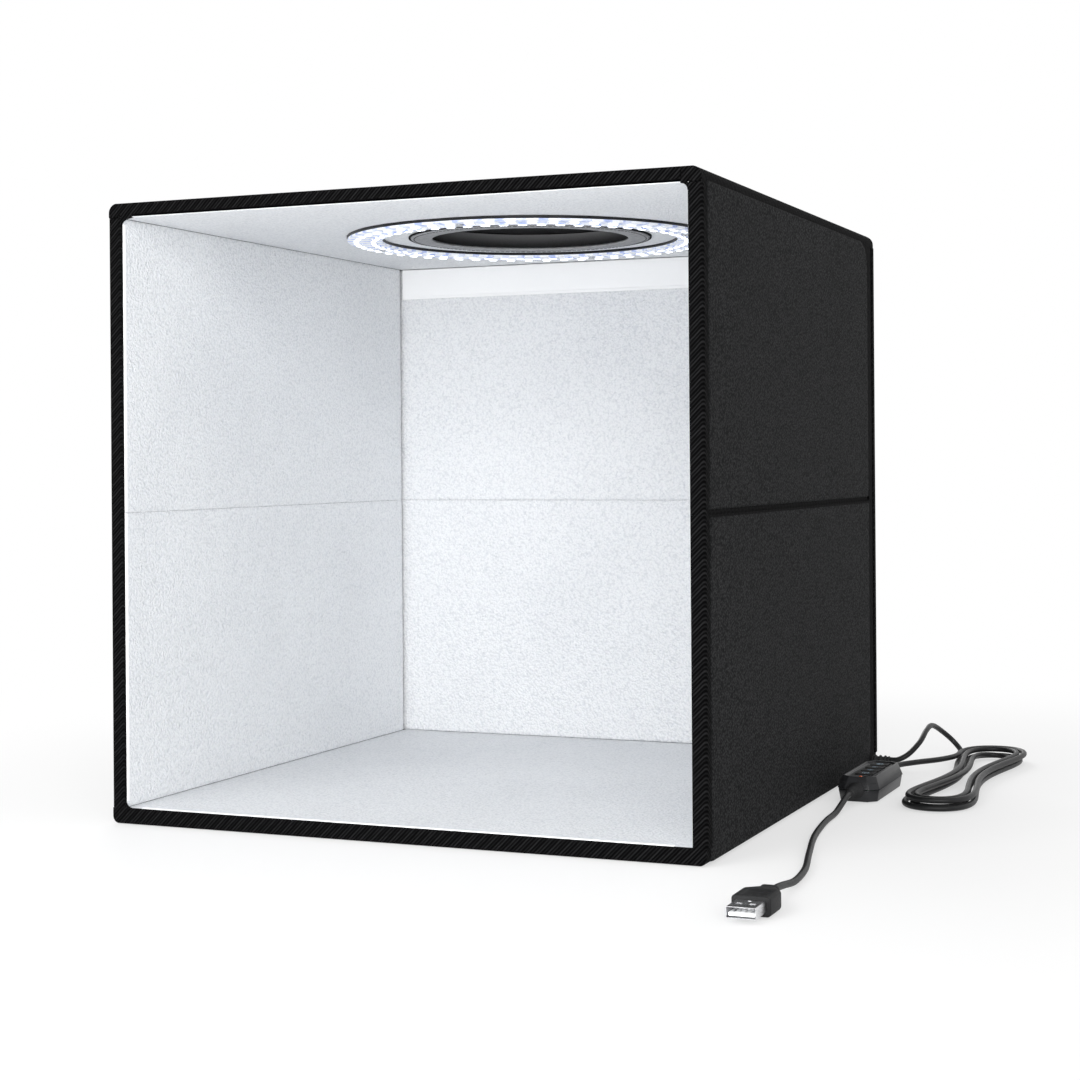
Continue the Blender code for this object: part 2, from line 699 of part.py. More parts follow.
def build_cords():
    lead = smooth_route(LEAD_ROUTE, 2.6 * CORD_DIAMETER)
    link = smooth_route(LINK_ROUTE, 2.6 * CORD_DIAMETER)
    tail = smooth_route(TAIL_ROUTE, 3.0 * CORD_DIAMETER)
    hank = hank_points()
    cord("cord_lead", lead, black_cord, 2)
    cord("cord_hank", hank, black_cord, 1)
    cord("cord_link", link, black_cord, 2)
    cord("cord_tail", tail, black_cord, 2)
    print("hank start", [round(v / MM, 2) for v in hank[0]],
          "next", [round(v / MM, 2) for v in hank[1]])
    print("hank least gap to itself, mm:", round(least_gap(hank) / MM, 2))
    total = sum(route_length(points) for points in (lead, hank, link, tail))
    print("cord length, m:", round(total, 3))


def build_plug(body):
    front = PLUG_BACK - PLUG_GRIP[1]
    half = PLUG_GRIP[0] / 2
    bm, middle = box_mesh((PLUG_X - half, front, PLUG_AXIS_Z - PLUG_GRIP[2] / 2),
                          (PLUG_X + half, PLUG_BACK, PLUG_AXIS_Z + PLUG_GRIP[2] / 2))
    for vert in bm.verts:
        if vert.co.y > 0:
            vert.co.x *= PLUG_GRIP_TAPER[0]
            vert.co.z *= PLUG_GRIP_TAPER[1]
    bevel_edges(bm, PLUG_GRIP_RADIUS, 3, lambda a, b: True)
    add_piece("plug_overmould", bm, black_rubber, body, middle, smooth=True)
    build_shell(body, front - GAP)


# The plug's metal shell is a folded rectangular tube with two latch windows on each broad face
def build_shell(body, back):
    half_x = SHELL_SIZE[0] / 2
    half_z = SHELL_SIZE[2] / 2
    front = back - SHELL_SIZE[1]
    bm, middle = box_mesh((PLUG_X - half_x, front, PLUG_AXIS_Z - half_z),
                          (PLUG_X + half_x, back, PLUG_AXIS_Z + half_z))
    bevel_edges(bm, 0.0005, 2, lambda a, b: abs(a.y - b.y) > 0.001)
    shell = add_piece("plug_shell", bm, steel, body, middle)
    bm, middle = box_mesh(
        (PLUG_X - half_x + SHELL_WALL, front - 0.002, PLUG_AXIS_Z - half_z + SHELL_WALL),
        (PLUG_X + half_x - SHELL_WALL, back - 0.0006, PLUG_AXIS_Z + half_z - SHELL_WALL))
    bore = add_cutter("plug_bore", bm)
    bore.location = middle
    cut(shell, bore)
    windows = bmesh.new()
    for side in (-1, 1):
        size = Matrix.Diagonal((SHELL_WINDOW, SHELL_WINDOW, 0.010, 1.0))
        place = Matrix.Translation(
            (PLUG_X + side * SHELL_WINDOW_PLACE[0], front + SHELL_WINDOW_PLACE[1], PLUG_AXIS_Z))
        bmesh.ops.create_cube(windows, size=1.0, matrix=place @ size)
    cut(shell, add_cutter("plug_windows", windows))
    bm, middle = box_mesh(
        (PLUG_X - half_x + SHELL_WALL + GAP, front + 0.0010, PLUG_AXIS_Z - half_z + SHELL_WALL + GAP),
        (PLUG_X + half_x - SHELL_WALL - GAP, back - 0.0009, PLUG_AXIS_Z - 0.0001))
    add_piece("plug_tongue", bm, white_board, body, middle)


clear_scene()
world = {}
parts = new_collection("light_tent_cube")
cutters = new_collection("cutters")

cover_cloth = material("cover_cloth", (0.022, 0.022, 0.024), 0.62)
binding_cloth = material("binding_cloth", (0.012, 0.012, 0.013), 0.85)
silver_lining = material("silver_lining", (0.70, 0.73, 0.77), 0.42, 0.35)
white_strip = material("white_strip", (0.88, 0.89, 0.90), 0.60)
black_plastic = material("black_plastic", (0.015, 0.015, 0.017), 0.40)
white_board = material("white_board", (0.86, 0.88, 0.92), 0.45)
grey_collar = material("grey_collar", (0.22, 0.22, 0.23), 0.80)
steel = material("steel", (0.62, 0.62, 0.63), 0.28, 1.0)
black_rubber = material("black_rubber", (0.018, 0.018, 0.019), 0.55)
black_cord = material("black_cord", (0.014, 0.014, 0.015), 0.50)
green_board = material("green_board", (0.02, 0.18, 0.08), 0.50)
amber_lens = material("amber_lens", (0.75, 0.16, 0.03), 0.20)

left_lower = axis_empty("left_lower_axis", (-INNER_X, 0, HINGE_LOW))
left_upper = axis_empty("left_upper_axis", (-HALF_WIDTH, 0, FOLD_HEIGHT), left_lower)
top = axis_empty("top_axis", (-INNER_X, 0, HINGE_HIGH), left_upper)
right_lower = axis_empty("right_lower_axis", (INNER_X, 0, HINGE_LOW))
right_upper = axis_empty("right_upper_axis", (HALF_WIDTH, 0, FOLD_HEIGHT), right_lower)
back_lower = axis_empty("back_lower_axis", (0, HALF_DEPTH, HINGE_LOW))
back_upper = axis_empty("back_upper_axis", (0, INNER_Y, FOLD_HEIGHT), back_lower)
port_cover_axis = axis_empty(
    "port_cover_axis", (0, COVER_HINGE_Y, HEIGHT + GAP + COVER_THICKNESS / 2), top)

build_base(None)
build_side("left", -1, left_lower, left_upper)
build_side("right", 1, right_lower, right_upper)
build_back(back_lower, back_upper)
build_top(top)
build_port_cover(top, port_cover_axis)

relief("cord_gland", (HALF_WIDTH + GAP, GLAND_Y, GLAND_Z), (1, 0, 0), None, GLAND_LENGTH - GAP,
       0.0023, 0.0020, 3)
build_cords()
build_controller(None)
relief("controller_relief_rear", (CTRL_X, CTRL_Y + CTRL_LENGTH / 2 + 2 * GAP, CTRL_AXIS_Z),
       (0, 1, 0), None, RELIEF_LENGTH - GAP, RELIEF_ROOT, RELIEF_TIP, RELIEF_RIBS)
relief("controller_relief_front", (CTRL_X, CTRL_Y - CTRL_LENGTH / 2 - 2 * GAP, CTRL_AXIS_Z),
       (0, -1, 0), None, RELIEF_LENGTH - GAP, RELIEF_ROOT, RELIEF_TIP, RELIEF_RIBS)
for label, spot in zip(("power", "brighter", "dimmer", "tone"), button_spots()):
    key_axis = axis_empty(f"button_{label}_axis", spot)
    build_button(f"button_{label}", spot, key_axis)
build_plug(None)
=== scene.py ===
# Looks for the folding light tent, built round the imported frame
import math

import bmesh
import bpy
from mathutils import Matrix, Vector, noise


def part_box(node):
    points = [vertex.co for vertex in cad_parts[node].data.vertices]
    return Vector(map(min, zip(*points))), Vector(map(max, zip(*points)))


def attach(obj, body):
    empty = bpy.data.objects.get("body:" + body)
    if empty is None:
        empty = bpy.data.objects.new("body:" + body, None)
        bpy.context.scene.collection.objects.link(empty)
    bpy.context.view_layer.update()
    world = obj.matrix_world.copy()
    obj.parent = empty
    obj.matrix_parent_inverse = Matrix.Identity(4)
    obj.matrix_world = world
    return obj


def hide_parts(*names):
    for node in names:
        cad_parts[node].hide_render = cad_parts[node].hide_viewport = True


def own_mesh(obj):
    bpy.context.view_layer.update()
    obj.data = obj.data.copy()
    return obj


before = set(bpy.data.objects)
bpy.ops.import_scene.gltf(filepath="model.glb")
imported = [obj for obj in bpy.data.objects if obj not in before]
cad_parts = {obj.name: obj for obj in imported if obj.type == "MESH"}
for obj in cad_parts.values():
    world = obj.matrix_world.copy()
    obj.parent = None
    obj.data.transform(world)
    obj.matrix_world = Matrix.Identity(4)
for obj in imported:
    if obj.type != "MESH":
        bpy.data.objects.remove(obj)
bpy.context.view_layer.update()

bpy.ops.object.select_all(action="DESELECT")
mm = 0.001


def sized(**sizes):  # part of a settings dictionary, given in millimetres
    return {name: [part * mm for part in size] if isinstance(size, tuple) else size * mm
            for name, size in sizes.items()}


# small modelling helpers
def only(piece):
    bpy.ops.object.select_all(action="DESELECT")
    piece.select_set(True)
    bpy.context.view_layer.objects.active = piece


def named(name):
    piece = bpy.context.object
    piece.name = name
    piece.data.name = name
    return piece


def settle(piece):  # puts the object's place, turn and size into its mesh
    only(piece)
    bpy.ops.object.transform_apply(location=True, rotation=True, scale=True)
    return piece


def block(name, low, high):
    low, high = Vector(low), Vector(high)
    bpy.ops.mesh.primitive_cube_add(size=1, location=(low + high) / 2)
    piece = named(name)
    piece.scale = high - low
    return settle(piece)


def blockAt(name, centre, half, low, high):  # a block round a standing line
    (x, y), (w, l) = centre, half
    return block(name, (x - w, y - l, low), (x + w, y + l, high))


def rod(name, radius, depth, place, turn=(0, 0, 0), steps=64):
    bpy.ops.mesh.primitive_cylinder_add(vertices=steps, radius=radius, depth=depth,
            location=place, rotation=turn)
    return settle(named(name))


def drum(name, radius, low, high, centre, steps):
    return rod(name, radius, high - low, (*centre, (low + high) / 2), steps=steps)


def pick(piece, kind, wanted):  # goes into edit mode with the wanted parts selected
    only(piece)
    bpy.ops.object.mode_set(mode="EDIT")
    bpy.ops.mesh.select_mode(type=kind)
    bpy.ops.mesh.select_all(action="DESELECT")
    shape = bmesh.from_edit_mesh(piece.data)
    for part in shape.edges if kind == "EDGE" else shape.faces:
        if wanted(part):
            part.select_set(True)
    shape.select_flush_mode()
    bmesh.update_edit_mesh(piece.data)


def done():
    bpy.ops.object.mode_set(mode="OBJECT")


def pushOn(step):
    bpy.ops.mesh.extrude_region_move(TRANSFORM_OT_translate={"value": step})


def insetFace(piece, axis, sign, *steps, push=None, area=0):
    # insets the faces that look along one axis by (thickness, depth) steps, then pushes them on
    pick(piece, "FACE", lambda face: face.normal[axis] * sign > 0.9 and face.calc_area() > area)
    for thickness, depth in steps:
        bpy.ops.mesh.inset(thickness=thickness, depth=depth)
    if push:
        pushOn(push)
    done()


def roundEdges(piece, wanted, width, segments):
    pick(piece, "EDGE", wanted)
    bpy.ops.mesh.bevel(offset=width, offset_type="OFFSET", segments=segments, profile=0.5,
            affect="EDGES")
    done()


def ends(edge):
    return edge.verts[0].co, edge.verts[1].co


def roundAlong(piece, axis, width, segments=5, **sides):
    # rounds the edges that run along one axis and lie on the given sides, such as y=-0.152
    def wanted(edge):
        a, b = ends(edge)
        return all(abs(a[k] - b[k]) < 1e-6 for k in range(3) if k != axis) and all(
            abs(getattr(end, side) - place) < 1e-5 for end in (a, b)
            for side, place in sides.items())

    roundEdges(piece, wanted, width, segments)


def modify(piece, kind, **settings):
    only(piece)
    work = piece.modifiers.new(kind.lower(), kind)
    for name, value in settings.items():
        setattr(work, name, value)
    bpy.ops.object.modifier_apply(modifier=work.name)


def smooth(piece, angle=40):
    only(piece)
    bpy.ops.object.shade_smooth_by_angle(angle=math.radians(angle))
    return piece


def soften(piece, width, segments=2, least=30, shade=40):
    # bevels every edge sharper than the least angle, then smooths the shading
    modify(piece, "BEVEL", width=width, segments=segments, limit_method="ANGLE",
           angle_limit=math.radians(least), harden_normals=False)
    return smooth(piece, shade) if shade else piece


def carve(piece, cutter, operation="DIFFERENCE"):
    modify(piece, "BOOLEAN", operation=operation, solver="EXACT", object=cutter)
    bpy.data.objects.remove(cutter)


def joined(name, pieces):
    bpy.ops.object.select_all(action="DESELECT")
    for piece in pieces:
        piece.select_set(True)
    bpy.context.view_layer.objects.active = pieces[0]
    bpy.ops.object.join()
    return named(name)


def turned(name, outline, centre=(0, 0), steps=96, closed=True):
    # draws (radius, height) points one after another and spins them round a standing axis
    bpy.ops.mesh.primitive_plane_add(size=0.001)
    piece = named(name)
    bpy.ops.object.mode_set(mode="EDIT")
    bpy.ops.mesh.select_mode(type="VERT")
    bpy.ops.mesh.select_all(action="SELECT")
    bpy.ops.mesh.merge(type="CENTER")
    spots = [Vector((centre[0] + radius, centre[1], height)) for radius, height in outline]
    bpy.ops.transform.translate(value=spots[0])
    for here, there in zip(spots, spots[1:]):
        pushOn(there - here)
    if closed:
        shape = bmesh.from_edit_mesh(piece.data)
        for vert in shape.verts:
            vert.select_set(min((vert.co - spots[0]).length, (vert.co - spots[-1]).length) < 1e-7)
        shape.select_flush_mode()
        bmesh.update_edit_mesh(piece.data)
        bpy.ops.mesh.edge_face_add()
    bpy.ops.mesh.select_all(action="SELECT")
    bpy.ops.mesh.spin(steps=steps, angle=2 * math.pi, center=(centre[0], centre[1], 0),
            axis=(0, 0, 1))
    bpy.ops.mesh.select_all(action="SELECT")
    bpy.ops.mesh.remove_doubles(threshold=2e-6)
    bpy.ops.mesh.normals_make_consistent(inside=False)
    done()
    return piece


def arrayedRound(piece, count, centre):  # copies the piece in a ring round the centre
    bpy.ops.object.empty_add(location=centre, rotation=(0, 0, 2 * math.pi / count))
    turner = bpy.context.object
    piece.data.transform(Matrix.Translation(-Vector(centre)))
    piece.location = centre
    bpy.context.view_layer.update()
    modify(piece, "ARRAY", count=count, use_relative_offset=False, use_object_offset=True,
           offset_object=turner)
    bpy.data.objects.remove(turner)
    settle(piece)


def fit(piece, body, finish, slot, *nodes):
    piece.data.materials.clear()
    piece.data.materials.append(finishes[finish])
    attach(piece, body)
    if nodes:
        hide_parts(*nodes)
    return piece


# shader helpers
class Wire:  # one shader socket, which sums and products can be written with
    def __init__(self, tree, socket=None):
        self.tree = tree
        self.socket = socket

    def node(self, kind, sockets=(), out=0, **settings):
        made = self.tree.nodes.new("ShaderNode" + kind)
        for name, value in settings.items():
            setattr(made, name, value)
        for name, value in dict(sockets).items():
            if isinstance(value, Wire):
                self.tree.links.new(value.socket, made.inputs[name])
            else:
                made.inputs[name].default_value = value
        return Wire(self.tree, made.outputs[out])

    def maths(self, operation, *others):
        return self.node("Math", enumerate((self, *others)), operation=operation)

    def __add__(self, other):
        return self.maths("ADD", other)

    def __sub__(self, other):
        return self.maths("SUBTRACT", other)

    def __rsub__(self, other):
        return self.node("Math", {0: other, 1: self}, operation="SUBTRACT")

    def __mul__(self, other):
        return self.maths("MULTIPLY", other)

    __radd__ = __add__
    __rmul__ = __mul__

    def between(self, low, high):  # 0 at low and 1 at high, smooth between
        return self.node("MapRange", {"Value": self, "From Min": low, "From Max": high},
                interpolation_type="SMOOTHSTEP")

    def blendOf(self, first, second):  # this value mixes two colours
        return self.node("Mix", {0: self, 6: (*first, 1.0), 7: (*second, 1.0)}, out=2,
                data_type="RGBA")

    def split(self):
        return [self.node("SeparateXYZ", {0: self}, out=k) for k in range(3)]

    def grain(self, scale, detail=2.0, rough=0.5, stretch=None):
        place = self.node("Mapping", {"Vector": self, "Scale": stretch}) if stretch else self
        return self.node("TexNoise", {"Vector": place, "Scale": scale, "Detail": detail,
                "Roughness": rough})

    def warpedCells(self, drift, reach, scale):  # cells whose borders noise has pushed about
        push = self.node("TexNoise", {"Vector": self, "Scale": drift}, out="Color")
        place = self.node("VectorMath", {0: push, 1: (reach,) * 3, 2: self},
                operation="MULTIPLY_ADD")
        return self.node("TexVoronoi", {"Vector": place, "Scale": scale})

    def bump(self, strength, depth):
        return self.node("Bump", {"Height": self, "Strength": strength, "Distance": depth})


def finishOf(name, recipe, specular=0.5, **fixed):
    # recipe(at) gives the sockets that change over the surface, fixed the ones that don't
    finish = bpy.data.materials.new(name)
    finish.use_nodes = True
    tree = finish.node_tree
    shader = tree.nodes["Principled BSDF"]
    at = Wire(tree).node("TexCoord", out="Object")
    for socket, value in recipe(at).items():
        tree.links.new(value.socket, shader.inputs[socket])
    fixed["Specular_IOR_Level"] = specular
    for socket, value in fixed.items():
        shader.inputs[socket.replace("_", " ")].default_value = value
    return finish


# finishes
coverLook = {"drift": (300, 0.0009), "pebble": 900, "fine": 2600, "relief": (0.75, 0.00030),
             "dark": (0.0080, 0.0083, 0.0087), "light": (0.0240, 0.0244, 0.0253)}
liningLook = {"drift": (260, 0.0030), "emboss": 760, "fleck": 1500, "pits": 1000,
              "relief": (0.9, 0.00045), "dark": (0.60, 0.62, 0.65), "light": (0.80, 0.812, 0.827)}
tapeLook = {**sized(ribPitch=1.9, floatPitch=5.2, threadPitch=0.55, sway=2),
            "relief": (0.8, 0.00032), "dark": (0.0005, 0.0005, 0.0006),
            "light": (0.0140, 0.0140, 0.0146)}
# the throat's painted light: its colour runs from dark at the bottom to pale at the top
throatLook = {**sized(shade=(290.5, 300)), "dark": (0.005, 0.005, 0.0055),
              "light": (0.125, 0.125, 0.128)}
ring = {**sized(centre=(0, 12), inner=78, outer=97, plate=(291.3, 292.5), board=(290, 291),
                boardInset=0.4, lampRows=(83, 92), lampSize=(4.8, 3.1, 0.75), screwHead=2.2),
        "lamps": 56, "screws": 4, "mask": (0.86, 0.88, 0.93), "patches": (0.36, 0.44, 0.74)}


def coverCloth(at):
    pebble = at.warpedCells(*coverLook["drift"], coverLook["pebble"])
    fine = at.grain(coverLook["fine"], 3)
    height = 1 - pebble * 1.15 + fine * 0.35
    tops = height.between(0.35, 0.95)
    worn = at.grain(9, 3).between(0.42, 0.72)
    return {"Base Color": (tops * (0.72 + worn * 0.28)).blendOf(
                coverLook["dark"], coverLook["light"]),
            "Roughness": 0.66 - tops * 0.16 + fine * 0.1,
            "Normal": height.bump(*coverLook["relief"])}


def liningCloth(at):
    emboss = at.warpedCells(*liningLook["drift"], liningLook["emboss"])
    fleck = at.grain(liningLook["fleck"], 2, 0.6)
    broad = at.grain(12, 3)
    pits = at.grain(liningLook["pits"], 1).between(0.36, 0.30)
    glints = fleck.between(0.62, 0.72)
    height = emboss * 1.1 + fleck * 0.35
    shade = (height.between(0.5, 1.25) * 0.62 + broad.between(0.4, 0.75) * 0.18 + pits * 0.5
             - glints * 0.45)
    return {"Base Color": shade.maths("MAXIMUM", 0.0).blendOf(
                liningLook["light"], liningLook["dark"]),
            "Roughness": 0.30 + height.between(0.1, 0.9) * 0.28,
            "Normal": (1 - height).bump(*liningLook["relief"])}


def twillTape(at):
    x, y, z = at.split()

    def wave(run, pitch):
        return (run * (2 * math.pi / pitch)).maths("SINE") * 0.5 + 0.5

    across = x - y - z
    ribs = wave(across, tapeLook["ribPitch"])
    floats = wave(across + at.grain(300, 1) * tapeLook["sway"], tapeLook["floatPitch"])
    threads = wave(x + y + z, tapeLook["threadPitch"])
    fuzz = at.grain(1500, 3, 0.65)
    height = ribs * 0.55 + threads * 0.14 + fuzz * 0.3 + floats * 0.2
    return {"Base Color": (height.between(0.35, 1.1) * (floats * 0.4 + 0.6)).blendOf(
                tapeLook["dark"], tapeLook["light"]),
            "Roughness": 0.86 - ribs * 0.12,
            "Normal": height.bump(*tapeLook["relief"])}


def ledBoard(at):
    # bluish patches of solder mask between the lamps, counted round the ring
    x, y, _ = at.split()
    around = (y - ring["centre"][1]).maths("ARCTAN2", x)
    turn = around * (ring["lamps"] / math.pi / 2)
    patch = (turn * (2 * math.pi)).maths("SINE").between(-0.1, 0.5)
    blot = at.grain(260, 2).between(0.42, 0.6)
    fine = at.grain(1500, 2)
    return {"Base Color": (patch * (0.35 + blot * 0.65)).blendOf(ring["mask"],
                                                                 ring["patches"]),
            "Roughness": 0.34 + fine * 0.2,
            "Normal": (blot * 0.4 + fine * 0.6).bump(0.2, 0.00008)}


def paintedLightThroatFelt(at):
    # painted light from above: paler towards the top of the port, over the fibre's grain
    fibre = at.grain(1500, 4, 0.7)
    top = at.split()[2].between(*throatLook["shade"])
    return {"Base Color": (fibre.between(0.3, 0.75) * 0.1 + top * top * 0.9).blendOf(
                throatLook["dark"], throatLook["light"]),
            "Roughness": 0.82 + fibre * 0.12,
            "Normal": fibre.bump(0.5, 0.0002)}


def weighted(parts, shares):  # a sum that leaves out what has no share
    used = [part if share == 1 else part * share for part, share in zip(parts, shares) if share]
    return sum(used[1:], used[0])


def speckled(first, second, span, rough, relief, *grains):
    # a plain material: grains mix two colours over the span, and the first one adds to the
    # roughness; each grain's measures are followed by its shares in the colour and the relief
    measures, tints, rises = zip(*grains)

    def recipe(at):
        made = [at.grain(*measure) for measure in measures]
        sockets = {"Base Color": weighted(made, tints).between(*span).blendOf(first, second),
                   "Roughness": rough[0] + made[0] * rough[1]}
        if relief:
            sockets["Normal"] = weighted(made, rises).bump(*relief)
        return sockets

    return recipe


finishes = {
    "cover": finishOf("coverCloth", coverCloth, 0.02),
    "lining": finishOf("liningCloth", liningCloth, Metallic=0.12),
    "tape": finishOf("twillTape", twillTape, 0.03),
    # the board's faint emission is painted light, a glow standing in for the LEDs' light falling
    # on it
    "board": finishOf("ledBoard", ledBoard, Emission_Color=(0.80, 0.85, 1.0, 1.0),
                      Emission_Strength=0.12),
    # the throat's finish, with painted light from above
    "paintedLightThroat": finishOf("paintedLightThroatFelt", paintedLightThroatFelt, 0.15),
    "strip": finishOf("plainStrip", speckled(
        (0.93, 0.935, 0.94), (0.97, 0.97, 0.975), (0.3, 0.75), (0.46, 0.2), (0.25, 0.0001),
        ((1100, 3), 0.4, 1), ((18, 2), 0.6, 0))),
    "plastic": finishOf("mouldedPlastic", speckled(
        (0.010, 0.0104, 0.0115), (0.020, 0.0205, 0.0222), (0.35, 0.7), (0.27, 0.2),
        (0.35, 0.00006), ((2600, 2), 0, 1), ((60, 3), 1, 0)), 0.22),
    "rubber": finishOf("softRubber", speckled(
        (0.0085, 0.0087, 0.0092), (0.021, 0.0212, 0.022), (0.38, 0.75), (0.46, 0.25),
        (0.3, 0.00006), ((1900, 3), 0, 1), ((90, 4, 0.6), 1, 0)), 0.18),
    "cord": finishOf("cordSleeve", speckled(
        (0.0065, 0.0067, 0.0070), (0.017, 0.0172, 0.018), (0.3, 0.75), (0.34, 0.22),
        (0.25, 0.0001), ((700, 3), 0, 1), ((30, 3), 1, 0)), 0.2),
    "lamp": finishOf("lampLens", speckled(
        (0.90, 0.92, 0.96), (0.98, 0.98, 1.0), (0.3, 0.7), (0.22, 0.15), None,
        ((900, 1), 1, 0)), Emission_Color=(0.86, 0.92, 1.0, 1.0), Emission_Strength=4.2),
    "grey": finishOf("greyFelt", speckled(
        (0.22, 0.222, 0.23), (0.40, 0.405, 0.415), (0.3, 0.75), (0.80, 0.15), (0.6, 0.00022),
        ((1500, 4, 0.7), 0.6, 0.7), ((420, 3), 0.4, 0.6)), 0.2),
    "dark": finishOf("darkFelt", speckled(
        (0.004, 0.004, 0.0045), (0.012, 0.012, 0.013), (0.3, 0.75), (0.82, 0.12),
        (0.5, 0.0002), ((1500, 4, 0.7), 1, 1)), 0.15),
    "steel": finishOf("platedSteel", speckled(
        (0.56, 0.565, 0.58), (0.76, 0.765, 0.775), (0.3, 0.7), (0.20, 0.18), (0.12, 0.00004),
        ((900, 3, 0.6, (6.0, 0.35, 6.0)), 0.5, 1), ((150, 3), 0.5, 0)), Metallic=1.0),
    "print": finishOf("keyPrint", speckled(
        (0.20, 0.27, 0.33), (0.34, 0.43, 0.50), (0.3, 0.7), (0.5, 0.2), None,
        ((2400, 2), 1, 0))),
    "amber": finishOf("amberClear", speckled(
        (0.42, 0.06, 0.015), (0.66, 0.12, 0.03), (0.3, 0.7), (0.16, 0.1), None,
        ((1200, 2), 1, 0))),
    "green": finishOf("greenMask", speckled(
        (0.010, 0.10, 0.045), (0.02, 0.19, 0.08), (0.4, 0.6), (0.35, 0.2), None,
        ((500, 3), 1, 0))),
    "thread": finishOf("blackThread", speckled(
        (0.010, 0.010, 0.011), (0.030, 0.030, 0.032), (0.3, 0.7), (0.6, 0.2), None,
        ((3000, 2), 1, 0)), 0.3),
}
print("finishes made:", len(finishes))

# camera
view = {"focal": 1988.9, "centreX": 570.0, "centreY": 459.4, "side": 1080.0, "sensor": 36,
        "turn": 22.39, "roll": 0.43, "place": (0.4213, -0.9576, 0.1743)}
bpy.ops.object.camera_add(
    location=view["place"],
    rotation=[math.radians(turn) for turn in (90, view["roll"], view["turn"])])
camera = bpy.context.object
camera.name = "photoCamera"
side, sensor = view["side"], view["sensor"]
camera.data.sensor_width = sensor
camera.data.lens = view["focal"] / side * sensor
camera.data.shift_x = (side / 2 - view["centreX"]) / side
camera.data.shift_y = (view["centreY"] - side / 2) / side
camera.data.clip_end = 50
bpy.context.scene.camera = camera

# cords
cord = sized(radius=1.5, step=1.6, rest=1.8)
hank = {**sized(centre=(212, 105), halfLength=95, waist=10.5, bulge=30, pitch=4.1, layer=3.7),
        "loops": 4, "start": 45, "climb": 0.5, "points": 120}
leadKnots = [(162.3, 138, 5.1), (166, 138, 5.2), (171.5, 140, 8), (176.5, 148, 14),
             (177.5, 161, 19), (177.5, 177, 20), (180, 190, 15.5), (185.5, 196.5, 9),
             (190.5, 193.5, 4.2), (192.4, 186, 2), (193.1, 179.5, 1.8), (193.93, 172.48, 1.8)]
linkKnots = [(194.01, 171.88, 5.5), (194.4, 168.5, 5.5), (193.6, 159, 5.5), (188.5, 144, 5.7),
             (180, 127.5, 6.2), (173.6, 114.5, 6.4), (171.5, 104.5, 6.4), (171.5, 99.1, 6.4)]
tailKnots = [(171.5, 10.9, 6.4), (171.5, 6, 6.3), (171.5, -4, 4.2), (171.7, -16, 2),
             (173, -40, 1.8), (178, -78, 1.8), (186.5, -118, 1.8), (194, -152, 1.8),
             (196.3, -176, 2), (196, -190, 3.4), (196, -199, 4.2), (196, -204.7, 4.2)]


def easedPoint(p0, p1, p2, p3, t):  # a point on the smooth curve between p1 and p2
    d1, d2, d3 = (max((b - a).length, 1e-9) ** 0.5 for a, b in ((p0, p1), (p1, p2), (p2, p3)))
    span = p2 - p1
    leaving = span if (p1 - p0).length < 1e-9 else (
        (p1 - p0) / d1 - (p2 - p0) / (d1 + d2) + span / d2) * d2
    arriving = span if (p3 - p2).length < 1e-9 else (
        span / d2 - (p3 - p1) / (d2 + d3) + (p3 - p2) / d3) * d2
    return (p1 * (2 * t ** 3 - 3 * t * t + 1) + leaving * (t ** 3 - 2 * t * t + t)
            + p2 * (3 * t * t - 2 * t ** 3) + arriving * (t ** 3 - t * t))


def easedRoute(knots):
    spots = [Vector(knot) * mm for knot in knots]
    route = []
    for i in range(len(spots) - 1):
        steps = max(2, round((spots[i + 1] - spots[i]).length / cord["step"]))
        before, after = spots[max(i - 1, 0)], spots[min(i + 2, len(spots) - 1)]
        route += [easedPoint(before, spots[i], spots[i + 1], after, k / steps)
                  for k in range(steps)]
    return route + [spots[-1]]


def hankSpot(angle):
    u = math.cos(angle)
    half = hank["waist"] + hank["bulge"] * u * u
    return Vector((-half * math.sin(angle), hank["halfLength"] * u, 0))


def hankRoute():  # loops that draw in and then out again, the later ones on top
    route = []
    loops = hank["loops"]
    count = loops * hank["points"]
    for k in range(count + 1):
        turn = loops * k / count
        angle = math.radians(hank["start"]) + 2 * math.pi * turn
        along = (hankSpot(angle + 0.0001) - hankSpot(angle - 0.0001)).normalized()
        inward = Vector((-along.y, along.x, 0)) * min(turn, loops - turn) * hank["pitch"]
        rise = min(max((turn - loops / 2) / hank["climb"] + 0.5, 0), 1)
        rise = rise * rise * (3 - 2 * rise)
        route.append(Vector((*hank["centre"], cord["rest"]
                + hank["layer"] * rise)) + hankSpot(angle) + inward)
    return route


def runLength(route):
    return sum((b - a).length for a, b in zip(route, route[1:]))


def cordPiece(name, route):
    line = bpy.data.curves.new(name, "CURVE")
    line.dimensions = "3D"
    line.bevel_depth = cord["radius"]
    line.bevel_resolution = 4
    line.use_fill_caps = True
    spline = line.splines.new("POLY")
    spline.points.add(len(route) - 1)
    for point, spot in zip(spline.points, route):
        point.co = (*spot, 1)
    spline.use_smooth = True
    piece = bpy.data.objects.new(name, line)
    bpy.context.scene.collection.objects.link(piece)
    return piece


leadRoute = easedRoute(leadKnots) + hankRoute()[1:-1] + easedRoute(linkKnots)
tailRoute = easedRoute(tailKnots)
powerLead = cordPiece("powerLead", leadRoute)
tailLead = cordPiece("tailLead", tailRoute)
fit(powerLead, "base", "cord", "black_cord", "cord_lead", "cord_hank", "cord_link")
fit(tailLead, "base", "cord", "black_cord", "cord_tail")
print("cords laid, metres:", round(runLength(leadRoute), 3), round(runLength(tailRoute), 3))

# strain reliefs
ribForm = {"foot": 0.08, "run": 0.86,
           "swells": ((0.0, -0.5), (0.14, 0.1), (0.30, 0.3), (0.46, 0.1), (0.60, -0.5))}


